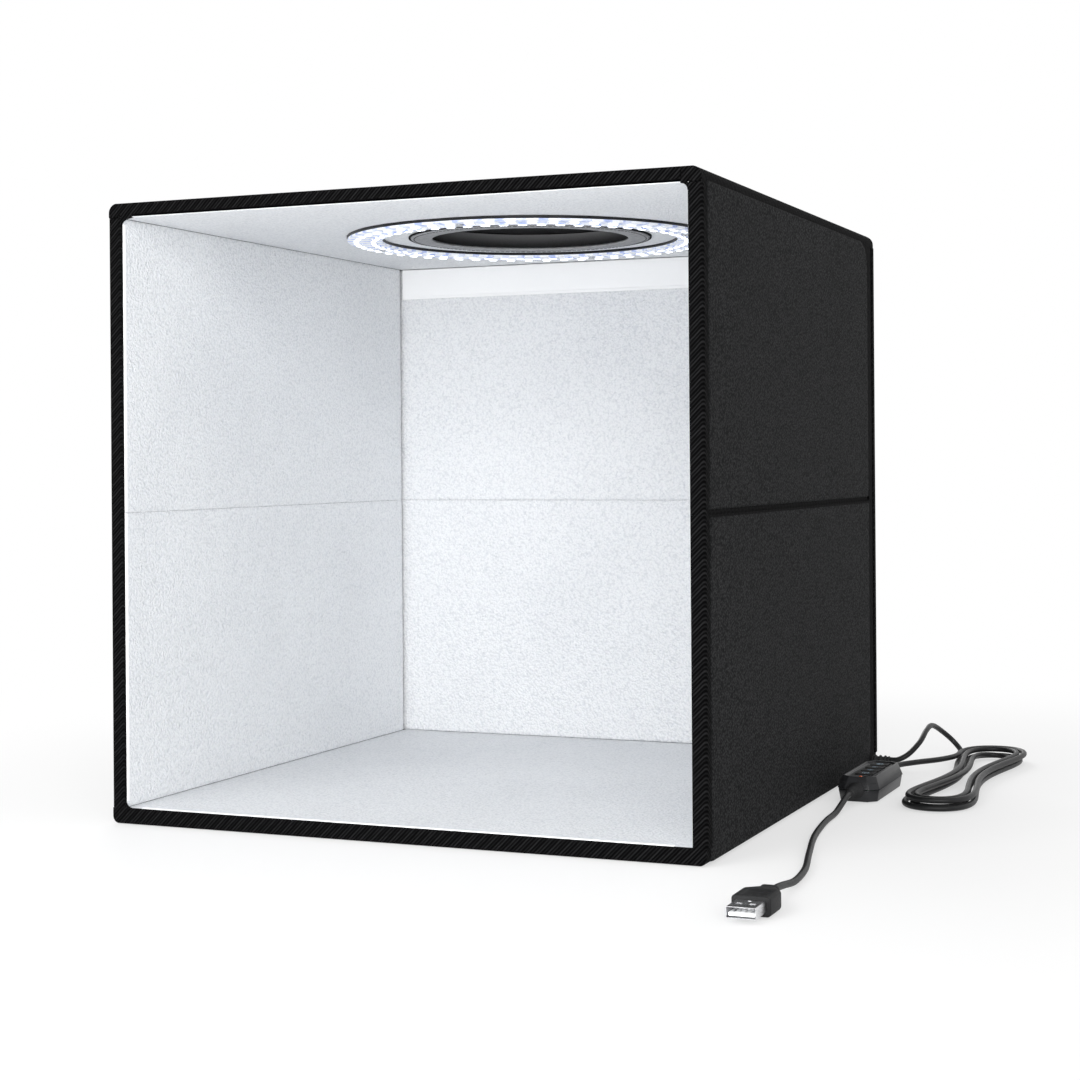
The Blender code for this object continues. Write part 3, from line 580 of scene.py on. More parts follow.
def relief(name, root, tip, length, ribs, place, facing, node):
    outline = [(0, 0), (root, 0), (root, length * 0.06)]
    pitch = length * ribForm["run"] / ribs
    for k in range(ribs):
        start = length * ribForm["foot"] + pitch * k
        size = root + (tip - root) * (k + 0.5) / ribs
        for share, swell in ribForm["swells"]:
            outline.append((size + swell * mm, start + pitch * share))
    outline += [(tip, length * 0.95), (tip, length - 0.3 * mm), (tip - 0.3 * mm, length),
                (0, length)]
    piece = turned(name, outline, steps=40, closed=False)
    piece.rotation_euler = Vector((0, 0, 1)).rotation_difference(Vector(facing)).to_euler()
    piece.location = place
    return fit(smooth(settle(piece), 50), "base", "rubber", "black_rubber", node)


gland = relief("cordGland", 2.3 * mm, 2.0 * mm, 9.7 * mm, 3,
        (152.3 * mm, 138 * mm, 5.1 * mm), (1, 0, 0), "cord_gland")
caseReliefs = [
    relief(f"controllerRelief{end}", 4.0 * mm, 2.4 * mm, 13.2 * mm, 6,
           (171.5 * mm, place * mm, 6.4 * mm), (0, out, 0), f"controller_relief_{end.lower()}")
    for end, place, out in (("Rear", 85.6, 1), ("Front", 24.4, -1))]

# inline controller
case = sized(middle=(171.5, 55), halfWidth=10.5, halfLength=30, low=0.3, split=6.2, gap=0.3,
             rim=12.8, field=11.8, chamfer=4.2, foot=0.9, lean=2.2, rimWidth=1.1, wall=1.3,
             keys=(43.9, 54.3, 64.7, 75.1), lens=33.5, keySize=(9.2, 7.6), keyTop=12.4)
caseX = case["middle"][0]
marks = {"low": case["keyTop"] - 0.13 * mm, **sized(thick=0.08, bar=(0.45, 3.2), ring=1.9)}
keySpots = dict(zip(("power", "brighter", "dimmer", "tone"), case["keys"]))


def caseBox(name, grow, low, high):
    half = case["halfWidth"] + grow, case["halfLength"] + grow
    piece = blockAt(name, case["middle"], half, low, high)
    roundAlong(piece, 2, case["chamfer"], 1)
    return piece


def lean(piece, low, high, amount):  # draws the corners between two heights in
    for vert in piece.data.vertices:
        if low < vert.co.z < high:
            for k in (0, 1):
                vert.co[k] -= math.copysign(amount, vert.co[k] - case["middle"][k])


def makeCase():
    split, rim = case["split"], case["rim"]
    tray = caseBox("controllerTray", 0, case["low"], split)
    lean(tray, 0, 1 * mm, case["foot"])
    insetFace(tray, 2, 1, (case["wall"], 0), push=(0, 0, -4.3 * mm))
    soften(tray, 0.35 * mm)
    lid = caseBox("controllerLid", 0.4 * mm, split + case["gap"], rim)
    lean(lid, rim - 0.01 * mm, rim + mm, case["lean"])
    insetFace(lid, 2, 1, (case["rimWidth"], 0), (0.35 * mm, case["field"] - rim))
    insetFace(lid, 2, -1, (1.4 * mm, 0), push=(0, 0, 3.4 * mm))
    well = [size / 2 + 0.25 * mm for size in case["keySize"]]
    for spot in keySpots.values():
        carve(lid, blockAt("well", (caseX, spot), well, 6 * mm, 14 * mm))
    carve(lid, drum("lensHole", 1.25 * mm, 7 * mm, 14 * mm, (caseX, case["lens"]), 24))
    soften(lid, 0.28 * mm)
    return (fit(tray, "base", "plastic", "black_plastic", "controller_base"),
            fit(lid, "base", "plastic", "black_plastic", "controller_cover"))


def keyCap(label, spot):
    cap = blockAt(f"{label}Key", (caseX, spot), [size / 2 for size in case["keySize"]],
                  9.2 * mm, case["keyTop"])
    roundAlong(cap, 2, 1.0 * mm, 4)
    insetFace(cap, 2, 1, (0.45 * mm, -0.02 * mm), (0.8 * mm, -0.14 * mm))
    soften(cap, 0.16 * mm, shade=20)
    fit(cap, f"{label}_button", "rubber", "black_rubber", f"button_{label}")


def printed(label, *parts):
    fit(joined(f"{label}Mark", parts), f"{label}_button", "print", "black_rubber")


def markBar(width, length, y, turn=0.0):
    bar = blockAt("bar", (0, 0), (width / 2, length / 2), 0, marks["thick"])
    roundAlong(bar, 2, width * 0.35, 3)
    bar.rotation_euler.z = turn
    bar.location = (caseX, y, marks["low"])
    return settle(bar)


def markRing(inner, y, gap=None):
    low, outer = marks["low"], marks["ring"]
    high = low + marks["thick"]
    ring = turned("ring", [(inner, low), (outer, low), (outer, high), (inner, high)],
                  (caseX, y), 40)
    if gap:
        carve(ring, block("gap", (caseX - gap, y - 5 * mm, low - mm), (caseX + gap, y, low + mm)))
    return ring


def toneHalf(y):
    half = drum("half", 1.6 * mm, marks["low"], case["keyTop"] - 0.05 * mm,
                (caseX, y), 40)
    carve(half, block("away", (caseX, y - 5 * mm, 10 * mm), (caseX + 5 * mm, y + 5 * mm, 20 * mm)))
    return half


tray, lid = makeCase()
for label, spot in keySpots.items():
    keyCap(label, spot)
crossbar = marks["bar"]
printed("power", markRing(1.5 * mm, keySpots["power"], gap=0.75 * mm),
        markBar(0.42 * mm, 1.9 * mm, keySpots["power"] - 1.3 * mm))
printed("brighter", markBar(*crossbar, keySpots["brighter"]),
        markBar(*crossbar, keySpots["brighter"], math.pi / 2))
printed("dimmer", markBar(*crossbar, keySpots["dimmer"], math.pi / 2))
filled = toneHalf(keySpots["tone"])
printed("tone", markRing(1.55 * mm, keySpots["tone"]), filled)
lensOutline = ((0, 6.6), (1, 6.6), (1, 11.85), (0.85, 12.1), (0.5, 12.28), (0, 12.33))
lens = turned("indicatorLens", [(radius * mm, height * mm) for radius, height in lensOutline],
              (caseX, case["lens"]), 24, closed=False)
fit(smooth(lens), "base", "amber", "amber_lens", "indicator_lens")
print("controller made")

# plug
plug = {
    **sized(x=196, z=4.2, back=-205, grip=29, shell=(12, 12.2, 4.5), wall=0.32,
            latch=(5, 7.3), contactPitch=2.3, contactHalf=0.5),
    # (distance from the front, half width, half height) along the grip, in millimetres
    "stations": [(0, 7.4, 3.5), (0.5, 7.9, 3.95), (13.5, 7.9, 3.95), (14.6, 7.75, 3.9),
                 (22, 4.1, 3.1), (23.4, 3.5, 2.9), (24, 3.9, 3.15), (25.6, 3.9, 3.15),
                 (26.2, 3.2, 2.75), (29, 2.6, 2.3)],
}


def makeGrip(x, z, front):
    stations = plug["stations"]
    _, w, h = stations[0]
    grip = block("plugGrip", (x - w * mm, front, z - h * mm),
                 (x + w * mm, front + stations[1][0] * mm, z + h * mm))
    for k, (reach, w, h) in enumerate(stations[1:], 1):
        last = stations[k - 1][0]
        if k > 1:
            pick(grip, "FACE", lambda face: face.normal.y > 0.9 and all(
                abs(vert.co.y - front - last * mm) < 1e-6 for vert in face.verts))
            pushOn((0, (reach - last) * mm, 0))
            done()
        for vert in grip.data.vertices:
            if abs(vert.co.y - front - reach * mm) < 1e-6:
                vert.co.x = x + math.copysign(w * mm, vert.co.x - x)
                vert.co.z = z + math.copysign(h * mm, vert.co.z - z)
    roundEdges(grip, lambda edge: abs(ends(edge)[0].y - ends(edge)[1].y) > 0.4 * mm, 1.5 * mm, 4)
    for side in (-1, 1):
        insetFace(grip, 2, side, (1.6 * mm, 0), (0.4 * mm, -0.3 * mm), area=100e-6)
    soften(grip, 0.3 * mm, 2, 25, 45)
    return fit(grip, "base", "rubber", "black_rubber", "plug_overmould")


def makePlug():
    x, z = plug["x"], plug["z"]
    front = plug["back"] - plug["grip"]
    grip = makeGrip(x, z, front)
    w, l, h = plug["shell"]
    shellBack = front - 0.3 * mm
    shellFront = shellBack - l
    shell = block("plugShell", (x - w / 2, shellFront, z - h / 2),
                  (x + w / 2, shellBack, z + h / 2))
    roundAlong(shell, 1, 0.55 * mm, 4)
    insetFace(shell, 1, -1, (plug["wall"], 0), push=(0, l - 0.8 * mm, 0))
    near, far = plug["latch"]
    for middle, half, first, last, low, high in (
            (x - 2.7 * mm, 1.15 * mm, shellFront + near, shellFront + far, 0, 10 * mm),
            (x + 2.7 * mm, 1.15 * mm, shellFront + near, shellFront + far, 0, 10 * mm),
            (x, 0.7 * mm, shellBack - 1.9 * mm, shellBack - mm, z + mm, 10 * mm),
            (x, 0.06 * mm, shellFront - mm, shellBack - 1.5 * mm, 0, z - mm)):
        carve(shell, block("cut", (middle - half, first, low), (middle + half, last, high)))
    soften(shell, 0.06 * mm, 1, 50)
    fit(shell, "base", "steel", "steel", "plug_shell")
    tongue = block("plugTongue", (x - 5.3 * mm, shellFront + 1.0 * mm, z - 1.5 * mm),
            (x + 5.3 * mm, shellBack - 0.9 * mm, z - 0.1 * mm))
    fit(soften(tongue, 0.25 * mm), "base", "strip", "white_board", "plug_tongue")
    strips = []
    half = plug["contactHalf"]
    for k in range(4):
        spot = x + (k - 1.5) * plug["contactPitch"]
        setBack = 0.8 * mm if k in (0, 3) else 1.8 * mm  # the two outer contacts reach further
        strip = block("contact", (spot - half, shellFront + 1.2 * mm + setBack, z - 0.14 * mm),
                      (spot + half, shellFront + 9.4 * mm, z - 0.02 * mm))
        strips.append(soften(strip, 0.05 * mm, 1, shade=None))
    contacts = fit(joined("plugContacts", strips), "base", "steel", "steel")
    return [grip, shell, tongue, contacts]


plugPieces = makePlug()
round(runLength(leadRoute), 3)
2 * cord["radius"]
[label + part for label in keySpots for part in ("Key", "Mark")]
round(runLength(tailRoute), 3)
2 * cord["radius"]
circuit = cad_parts["controller_circuit"]
circuit.data.materials.clear()
circuit.data.materials.append(finishes["green"])
print("plug made")

# panels
sideHalves = {
    "lower": {"cover": (5.6, 6.0, -6.9, 0.5), "corners": (2, 14, 1.5, 1.5),
              "lining": (1.6, -0.3, -0.15, -0.12)},
    "upper": {"cover": (5.6, 6.0, 1.9, -1.9), "corners": (1.5, 1.5, 3, 14),
              "lining": (1.6, -0.3, -0.12, -0.15)},
}
panels = {
    # axis of thickness, outward sign, body, then how far cover and lining stop short of the panel
    # (towards -Y or -X, towards +Y or +X, bottom, top) and the cover's corner radii (the same
    # sides: low first, low second, high first, high second), all in millimetres
    "base": {"axis": 2, "out": -1, "body": "base", "cover": (4.5, 4.5, 4.5, 14),
             "corners": (4,) * 4, "lining": (5.8, 5.8, 1.5, 5.0)},
    "top": {"axis": 2, "out": 1, "body": "top", "cover": (6.5, 6.5, 4.5, 7.5),
            "corners": (6,) * 4, "lining": (5.8, 5.8, 0.7, 5.0)},
    **{f"{side}_{half}": {"axis": 0, "out": out, "body": f"{side}_{half}_wall", **measures}
       for side, out in (("left", -1), ("right", 1)) for half, measures in sideHalves.items()},
    "back_lower": {"axis": 1, "out": 1, "body": "back_lower_wall", "cover": (6.5, 6.5, 5.0, 0.5),
                   "corners": (6, 6, 1.5, 1.5), "lining": (4.0, 4.0, -0.15, -0.12)},
    "back_upper": {"axis": 1, "out": 1, "body": "back_upper_wall", "cover": (6.5, 6.5, 1.9, 4.0),
                   "corners": (1.5, 1.5, 6, 6), "lining": (4.0, 4.0, -0.12, -0.15)},
}
sheets = {
    # roll, crown, thickness and wave of the two sheets, then how proud of the panel they lie
    **sized(cover=(1.4, 0.35, 0.9, 0.2), lining=(0.35, 0.15, 0.5, 0.14), coverProud=-0.2,
            underProud=-0.9, liningProud=-0.06, liningCorner=0.4, lip=1.05),
    "edgeShare": 0.87, "wallRows": (72, 40), "deckRows": (76, 76),
}
binding = sized(deckInset=0.9, sink=0.45, underSink=0.1, width=9, step=1.5, fold=150,
        topRound=(146, 294, 6), lowRound=(139, 13, 13))


def flatSheet(name, sides, corners, roll, crown, thick, wave, rows, seed, lip=0.0, front=1):
    # a sheet with rounded corners and rolled edges, lying flat with its good face up
    left, right, low, high = sides
    halfX, halfY = (right - left) / 2, (high - low) / 2
    bpy.ops.mesh.primitive_grid_add(x_subdivisions=rows[0], y_subdivisions=rows[1], size=2)
    piece = named(name)
    inner = sheets["edgeShare"]
    for vert in piece.data.vertices:
        spot = []
        for share, half in ((vert.co.x, halfX), (vert.co.y, halfY)):
            size = abs(share)
            reach = size / inner * (half - roll)
            if size > inner:
                reach = half - roll + roll * math.sin((size - inner) / (1 - inner) * math.pi / 2)
            spot.append(math.copysign(reach, share))
        x, y = spot
        corner = corners[(x > 0) + 2 * (y > 0)]
        overX, overY = abs(x) - halfX + corner, abs(y) - halfY + corner
        inside = min(halfX - abs(x), halfY - abs(y))
        if overX > 0 and overY > 0:
            squeeze = max(overX, overY) / math.hypot(overX, overY)
            x = math.copysign(halfX - corner + overX * squeeze, x)
            y = math.copysign(halfY - corner + overY * squeeze, y)
        fall = max(0.0, 1 - inside / roll)
        lift = (1 - (x / halfX) ** 4) * (1 - (y / halfY) ** 4)
        ripple = noise.noise(Vector((x * 22, y * 22, seed))) + 0.5 * noise.noise(
            Vector((x * 60, y * 60, seed + 9)))
        # the lip is a soft roll of cloth above the fold
        bulge = lip * math.exp(-((halfY - y - 2.6 * mm) / (1.5 * mm)) ** 2)
        bulge *= 0.55 + 0.45 * front * x / halfX + 0.5 * noise.noise(Vector((x * 90, seed, 3)))
        vert.co = Vector(((left + right) / 2 + x, (low + high) / 2 + y,
                crown * lift + wave * ripple * min(1, lift * 2) + bulge
                - roll * (1 - math.sqrt(max(0.0, 1 - fall * fall)))))
    modify(piece, "SOLIDIFY", thickness=thick, offset=-1)
    return smooth(piece, 60)


def wideAxis(axis):  # the level axis along a panel
    return 1 - axis if axis < 2 else 0


def standing(low, high, axis, out):  # turns a flat sheet onto the panel's face on the out side
    normal = Vector([out if k == axis else 0 for k in range(3)])
    up = Vector((0, 1, 0)) if axis == 2 else Vector((0, 0, 1))
    across = up.cross(normal)
    middle = (low + high) / 2
    middle[axis] = high[axis] if out > 0 else low[axis]
    turn = Matrix((across, up, normal)).transposed().to_4x4()
    return Matrix.Translation(middle) @ turn, across[wideAxis(axis)] < 0


def sheetSides(low, high, axis, mirrored, margins):
    wide, tall = wideAxis(axis), 2 if axis < 2 else 1
    halfWide, halfTall = (high[wide] - low[wide]) / 2, (high[tall] - low[tall]) / 2
    first, last = margins[0] * mm, margins[1] * mm
    if mirrored:
        first, last = last, first
    return (-halfWide + first, halfWide - last, -halfTall + margins[2] * mm,
            halfTall - margins[3] * mm)


def placed(sheet, proud, turn):
    sheet.data.transform(Matrix.Translation((0, 0, proud)))
    sheet.matrix_world = turn
    return settle(sheet)


def makePanel(name, settings, seed):
    axis, out = settings["axis"], settings["out"]
    low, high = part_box(f"{name}_binding")
    rows = sheets["wallRows" if axis < 2 else "deckRows"]
    first, *others = name.split("_")
    camel = first + "".join(word.capitalize() for word in others)
    turn, mirrored = standing(low, high, axis, out)
    corners = [settings["corners"][k] * mm for k in ((1, 0, 3, 2) if mirrored else range(4))]
    cover = flatSheet(f"{camel}Cover", sheetSides(low, high, axis, mirrored, settings["cover"]),
            corners, *sheets["cover"], rows, seed,
            sheets["lip"] if name.endswith("lower") else 0, 1 if mirrored else -1)
    placed(cover, sheets["underProud" if name == "base" else "coverProud"], turn)
    turn, mirrored = standing(low, high, axis, -out)
    lining = flatSheet(f"{camel}Lining", sheetSides(low, high, axis, mirrored, settings["lining"]),
            [sheets["liningCorner"]] * 4, *sheets["lining"], rows, seed + 40)
    placed(lining, sheets["liningProud"], turn)
    return cover, lining, makeTape(name, camel, low, high, axis, out)


def rearCorner(y, z, radius, up):  # the waste outside a rounding along the rear edge
    keep = rod("rearRound", radius, 0.4, (0, y, z), (0, math.pi / 2, 0))
    lowZ, highZ = (z, z + 0.03) if up else (z - 0.03, z)
    waste = block("rearWaste", (-0.18, y, lowZ), (0.18, y + 0.03, highZ))
    carve(waste, keep)
    return waste


def makeTape(name, camel, low, high, axis, out):
    # the edge binding: a ring round the panel's board, rounder where it shows
    sink, step, width = (binding[key] for key in ("sink", "step", "width"))
    if name == "base":
        sink = binding["underSink"]
    inner = low[axis] if out > 0 else high[axis]
    if out > 0:
        high[axis] -= sink
    else:
        low[axis] += sink
    if axis == 2:
        low.x += binding["deckInset"]
        high.x -= binding["deckInset"]
    else:
        low.z -= (0.2 if low.z < 0.1 else 0.12) * mm
        high.z += (0.2 if high.z > 0.2 else 0.12) * mm
    outer = high[axis] if out > 0 else low[axis]
    tape = block(f"{camel}Binding", low, high)
    if axis == 2:
        for side in (low.x, high.x):
            roundAlong(tape, 1, (4.6 if out > 0 else 3.4) * mm, 8, x=side, z=outer)
        roundAlong(tape, 0, 1.3 * mm, y=low.y, z=outer)
        if out > 0:
            roundAlong(tape, 0, 0.9 * mm, y=low.y, z=inner)
        carve(tape, rearCorner(*binding["topRound" if out > 0 else "lowRound"], out > 0))
    elif axis == 0:
        roundAlong(tape, 2, 1.7 * mm, x=outer, y=low.y)
        roundAlong(tape, 2, 1.0 * mm, x=inner, y=low.y)
        earSides = sorted((outer, outer - out * 3.2 * mm))
        carve(tape, block("ear", (earSides[0], high.y - mm, low.z),
                (earSides[1], high.y + 2.3 * mm, high.z)), "UNION")
    else:
        for side in (low.x, high.x):
            roundAlong(tape, 2, 2.2 * mm, x=side, y=outer)
        carve(tape, rearCorner(*binding["lowRound"], False))
    holeLow, holeHigh = low + Vector((width,) * 3), high - Vector((width,) * 3)
    holeLow[axis], holeHigh[axis] = low[axis] - mm, high[axis] + mm
    carve(tape, block("hole", holeLow, holeHigh))
    stepLow, stepHigh = low - Vector((mm,) * 3), high + Vector((mm,) * 3)
    stepLow[axis], stepHigh[axis] = sorted((inner - out * 5 * mm, inner + out * step))
    if axis == 2:
        stepLow.x, stepHigh.x, stepHigh.y = low.x + 6 * mm, high.x - 6 * mm, high.y - 5.2 * mm
    if axis == 0 or name == "base":
        stepLow.y = low.y + 1.9 * mm
    carve(tape, block("step", stepLow, stepHigh))
    if axis < 2:
        # a hollow along the mid-height fold, behind the crease between the two covers
        hollowLow, hollowHigh = low.copy(), high.copy()
        hollowLow[axis], hollowHigh[axis] = sorted((outer - out * 0.9 * mm, outer + out * mm))
        hollowLow.z, hollowHigh.z = (binding["fold"] + over * mm for over in (0.1, 6))
        hollowLow[1 - axis] += 5 * mm
        hollowHigh[1 - axis] -= 5 * mm
        carve(tape, block("hollow", hollowLow, hollowHigh))
    return smooth(tape)


def makeHem(name, body, side, low, high):
    # the lining's folded hem along the opening; its whiter strip finish is a painted highlight
    inner = low.x if side > 0 else high.x
    proud = (0.5 if side > 0 else 0.22) * mm
    first, last = sorted((inner - side * proud, inner + side * 0.9 * mm))
    clear = 2.6 * mm
    hem = block(name, (first, low.y + 2.0 * mm, low.z + (clear if low.z < 0.1 else 0)),
                (last, low.y + 4.4 * mm, high.z - (clear if high.z > 0.2 else 0)))
    fit(soften(hem, 0.2 * mm), body, "strip", "silver_lining")


gussets = {**sized(reach=3.2, front=-151.9, depth=1.9, side=144.6, low=7.55, high=292.4, over=1.7),
           "steps": 64,
           # name, body, joint, side, up or down, stretch
           "corners": [("baseGussetLeft", "base", "left_lower_fold", -1, 1, 1.0),
                       ("topGussetLeft", "top", "top_fold", -1, -1, 2.0),
                       ("topGussetRight", "top", "right_upper_fold", 1, -1, 1.0)]}


def makeGusset(name, body, joint, side, up, stretch):
    # a small rounded filling of the opening's corner
    reach, front = gussets["reach"], gussets["front"]
    x = side * gussets["side"]
    z = gussets["low" if up > 0 else "high"]
    low, high = sorted((z - up * (0 if up > 0 else gussets["over"]), z + up * reach))
    first, last = sorted((x, x - side * reach))
    piece = block(name, (first, front, low), (last, front + gussets["depth"], high))
    carve(piece, rod("cornerRound", reach, 0.01, (x - side * reach, front, z + up * reach),
            (math.pi / 2, 0, 0), gussets["steps"]))
    for vert in piece.data.vertices:
        vert.co.x = x + (vert.co.x - x) * stretch
    fit(smooth(piece), body, "tape", "binding_cloth")
    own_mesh(piece)


port = {**sized(centre=(0, 12), radius=52, wall=1.6, flange=63.5, flangeLow=291.2, ceiling=292.6,
        tubeTop=299.7), "stitches": 132}
tapeJoin = sized(low=(141.5, -153.5, 291), high=(141.9, -151.4, 302))
for seed, (name, settings) in enumerate(panels.items()):
    cover, lining, tape = makePanel(name, settings, seed * 7.3)
    body = settings["body"]
    if name == "top":
        for piece in (cover, lining):
            carve(piece, drum("portHole", port["radius"] + port["wall"] + 0.3 * mm,
                    0.28, 0.31, port["centre"], 96))
            smooth(piece, 60)
        # where the ends of the front binding meet
        carve(tape, block("join", tapeJoin["low"], tapeJoin["high"]))
    fit(cover, body, "cover", "cover_cloth", f"{name}_board")
    fit(lining, body, "lining", "silver_lining", f"{name}_lining")
    fit(tape, body, "tape", "binding_cloth", f"{name}_binding")
    if settings["axis"] == 0:
        makeHem(f"{tape.name}Hem", body, settings["out"], *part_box(f"{name}_binding"))
low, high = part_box("base_lining")
# the floor lining's front hem, whose whiter strip finish is a painted highlight
frontHem = block("baseFrontHem", (low.x + 12 * mm, low.y - 2.5 * mm, high.z - 0.6 * mm),
        (high.x - 12 * mm, low.y - 0.7 * mm, high.z + 0.75 * mm))
fit(soften(frontHem, 0.2 * mm), "base", "strip", "silver_lining")
for gusset in gussets["corners"]:
    makeGusset(*gusset)
print("panels made")

# white strip on the back wall
low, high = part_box("backdrop_strip")
strip = block("backdropStrip", low, high)
fit(soften(strip, 0.45 * mm, 3), "back_upper_wall", "strip", "white_strip", "backdrop_strip")
hem = block("backdropStripHem", (low.x + 0.2 * mm, low.y - 0.35 * mm, low.z - 0.3 * mm),
            (high.x - 0.2 * mm, low.y + 0.4 * mm, low.z + 1.5 * mm))
fit(soften(hem, 0.25 * mm), "back_upper_wall", "strip", "white_strip")


# ring light
def flatRing(name, inner, outer, low, high, chamfer, centre):
    # a flat ring with its two lower edges chamfered
    return turned(name, [
        (inner, high), (inner, low + chamfer), (inner + chamfer, low), (outer - chamfer, low),
        (outer, low + chamfer), (outer, high)], centre, 128)


def ringSpot(radius, turn):
    x, y = ring["centre"]
    return x + radius * math.cos(turn), y + radius * math.sin(turn)


def makeLamps(low):  # two rows of lamps, each row's bodies and lenses modelled once and copied
    parts = [("lampBody", 0, 0), ("lampLens", -0.5, 0.12)]  # growth and drop in millimetres
    made = [], []
    wide, tall, deep = ring["lampSize"]
    for offset, radius in zip((0.25, 0.75), ring["lampRows"]):
        turn = math.pi / 2 + 2 * math.pi * offset / ring["lamps"]
        for (label, grow, drop), row in zip(parts, made):
            half = wide / 2 + grow * mm / 1.2, tall / 2 + grow * mm
            lamp = blockAt(label, (0, 0), half, -deep - drop * mm, 0.1 * mm - drop * mm)
            roundAlong(lamp, 2, 0.35 * mm, 2)
            insetFace(lamp, 2, -1, (0.18 * mm, 0.08 * mm))
            lamp.rotation_euler.z = turn - math.pi / 2
            lamp.location = (*ringSpot(radius, turn), low)
            settle(lamp)
            arrayedRound(lamp, ring["lamps"], (*ring["centre"], 0))
            row.append(lamp)
    return made


def makeRingLight():
    centre, inset = ring["centre"], ring["boardInset"]
    inner, outer = ring["inner"], ring["outer"]
    plate = flatRing("ringPlate", inner, outer, *ring["plate"], 0.3 * mm, centre)
    fit(smooth(plate), "top", "plastic", "black_plastic", "ring_light_plate")
    low, high = ring["board"]
    board = flatRing("ringBoard", inner + inset, outer - inset, low, high, 0.12 * mm, centre)
    bodies, lenses = makeLamps(low)
    carve(board, joined("lampBodies", bodies), "UNION")
    head, middle = ring["screwHead"], (inner + outer) / 2
    count = ring["screws"]
    turns = [2 * math.pi * k / count + math.pi / 2 for k in range(count)]
    spots = [ringSpot(middle, turn) for turn in turns]
    for spot in spots:
        carve(board, drum("clearance", head + 0.5 * mm, low - mm, high + mm, spot, 40))
    fit(smooth(board, 30), "top", "board", "white_board", "ring_light_board")
    fit(smooth(joined("lampLenses", lenses), 30), "top", "lamp", "white_board")
    top, screwEnd = low - 0.3 * mm, 292.4 * mm
    for k, spot in enumerate(spots):
        screw = turned(f"ringScrew{k + 1}", [
            (0, top - 0.8 * mm), (head * 0.55, top - 0.78 * mm), (head * 0.85, top - 0.6 * mm),
            (head, top - 0.25 * mm), (head, top), (1.1 * mm, top), (1.1 * mm, screwEnd),
            (0, screwEnd)], spot, 32, closed=False)
        for half in ((0.25 * mm, 1.3 * mm), (1.3 * mm, 0.25 * mm)):
            carve(screw, blockAt("slot", spot, half, top - 2 * mm, top - 0.35 * mm))
        fit(smooth(screw), "top", "steel", "steel", f"ring_light_screw_{k + 1}")


makeRingLight()
print("ring light made")


# camera port: collar, throat and cover flap
def makePort():
    centre, radius = port["centre"], port["radius"]
    low, high = port["flangeLow"], port["ceiling"]
    wall, flange, tubeTop = (port[key] for key in ("wall", "flange", "tubeTop"))
    collar = turned("portCollar", [
        (radius + 0.9 * mm, high), (radius + 0.15 * mm, high - 0.5 * mm), (radius, low + 0.5 * mm),
        (radius + 0.25 * mm, low + 0.12 * mm), (radius + 0.9 * mm, low), (flange - 1.1 * mm, low),
        (flange - 0.35 * mm, low + 0.18 * mm), (flange, low + 0.7 * mm), (flange, high)],
        centre, 128)
    fit(smooth(collar, 60), "top", "grey", "grey_collar", "port_collar")
    throat = turned("portThroat", [
        (radius + 0.3 * mm, high), (radius + 0.3 * mm, tubeTop), (radius + wall, tubeTop),
        (radius + wall, high)], centre, 128)
    # the throat's finish paints light from above, paler towards its top
    fit(smooth(throat), "top", "paintedLightThroat", "grey_collar")
    rim = turned("collarWelt", [
        (flange + 0.1 * mm, high), (flange + 0.1 * mm, low + 0.6 * mm),
        (flange + 0.5 * mm, low + 0.25 * mm), (flange + 1.0 * mm, low + 0.5 * mm),
        (flange + 1.1 * mm, high)], centre, 128)
    fit(smooth(rim, 60), "top", "dark", "grey_collar")
    # the collar's stitches, modelled once and copied round
    stitch = blockAt("stitch", (0, 0), (1.05 * mm, 0.22 * mm), -0.2 * mm, 0.2 * mm)
    soften(stitch, 0.16 * mm, shade=60)
    stitch.location = (centre[0], centre[1] - flange + 1.9 * mm, low)
    settle(stitch)
    stitch.name = "collarStitches"
    arrayedRound(stitch, port["stitches"], (*centre, 0))
    fit(stitch, "top", "thread", "binding_cloth")


flapForm = sized(halfWidth=62, front=-52, rear=83.7, low=300.3, thick=1.6, corner=18, tape=5,
        edge=3.6, under=3)


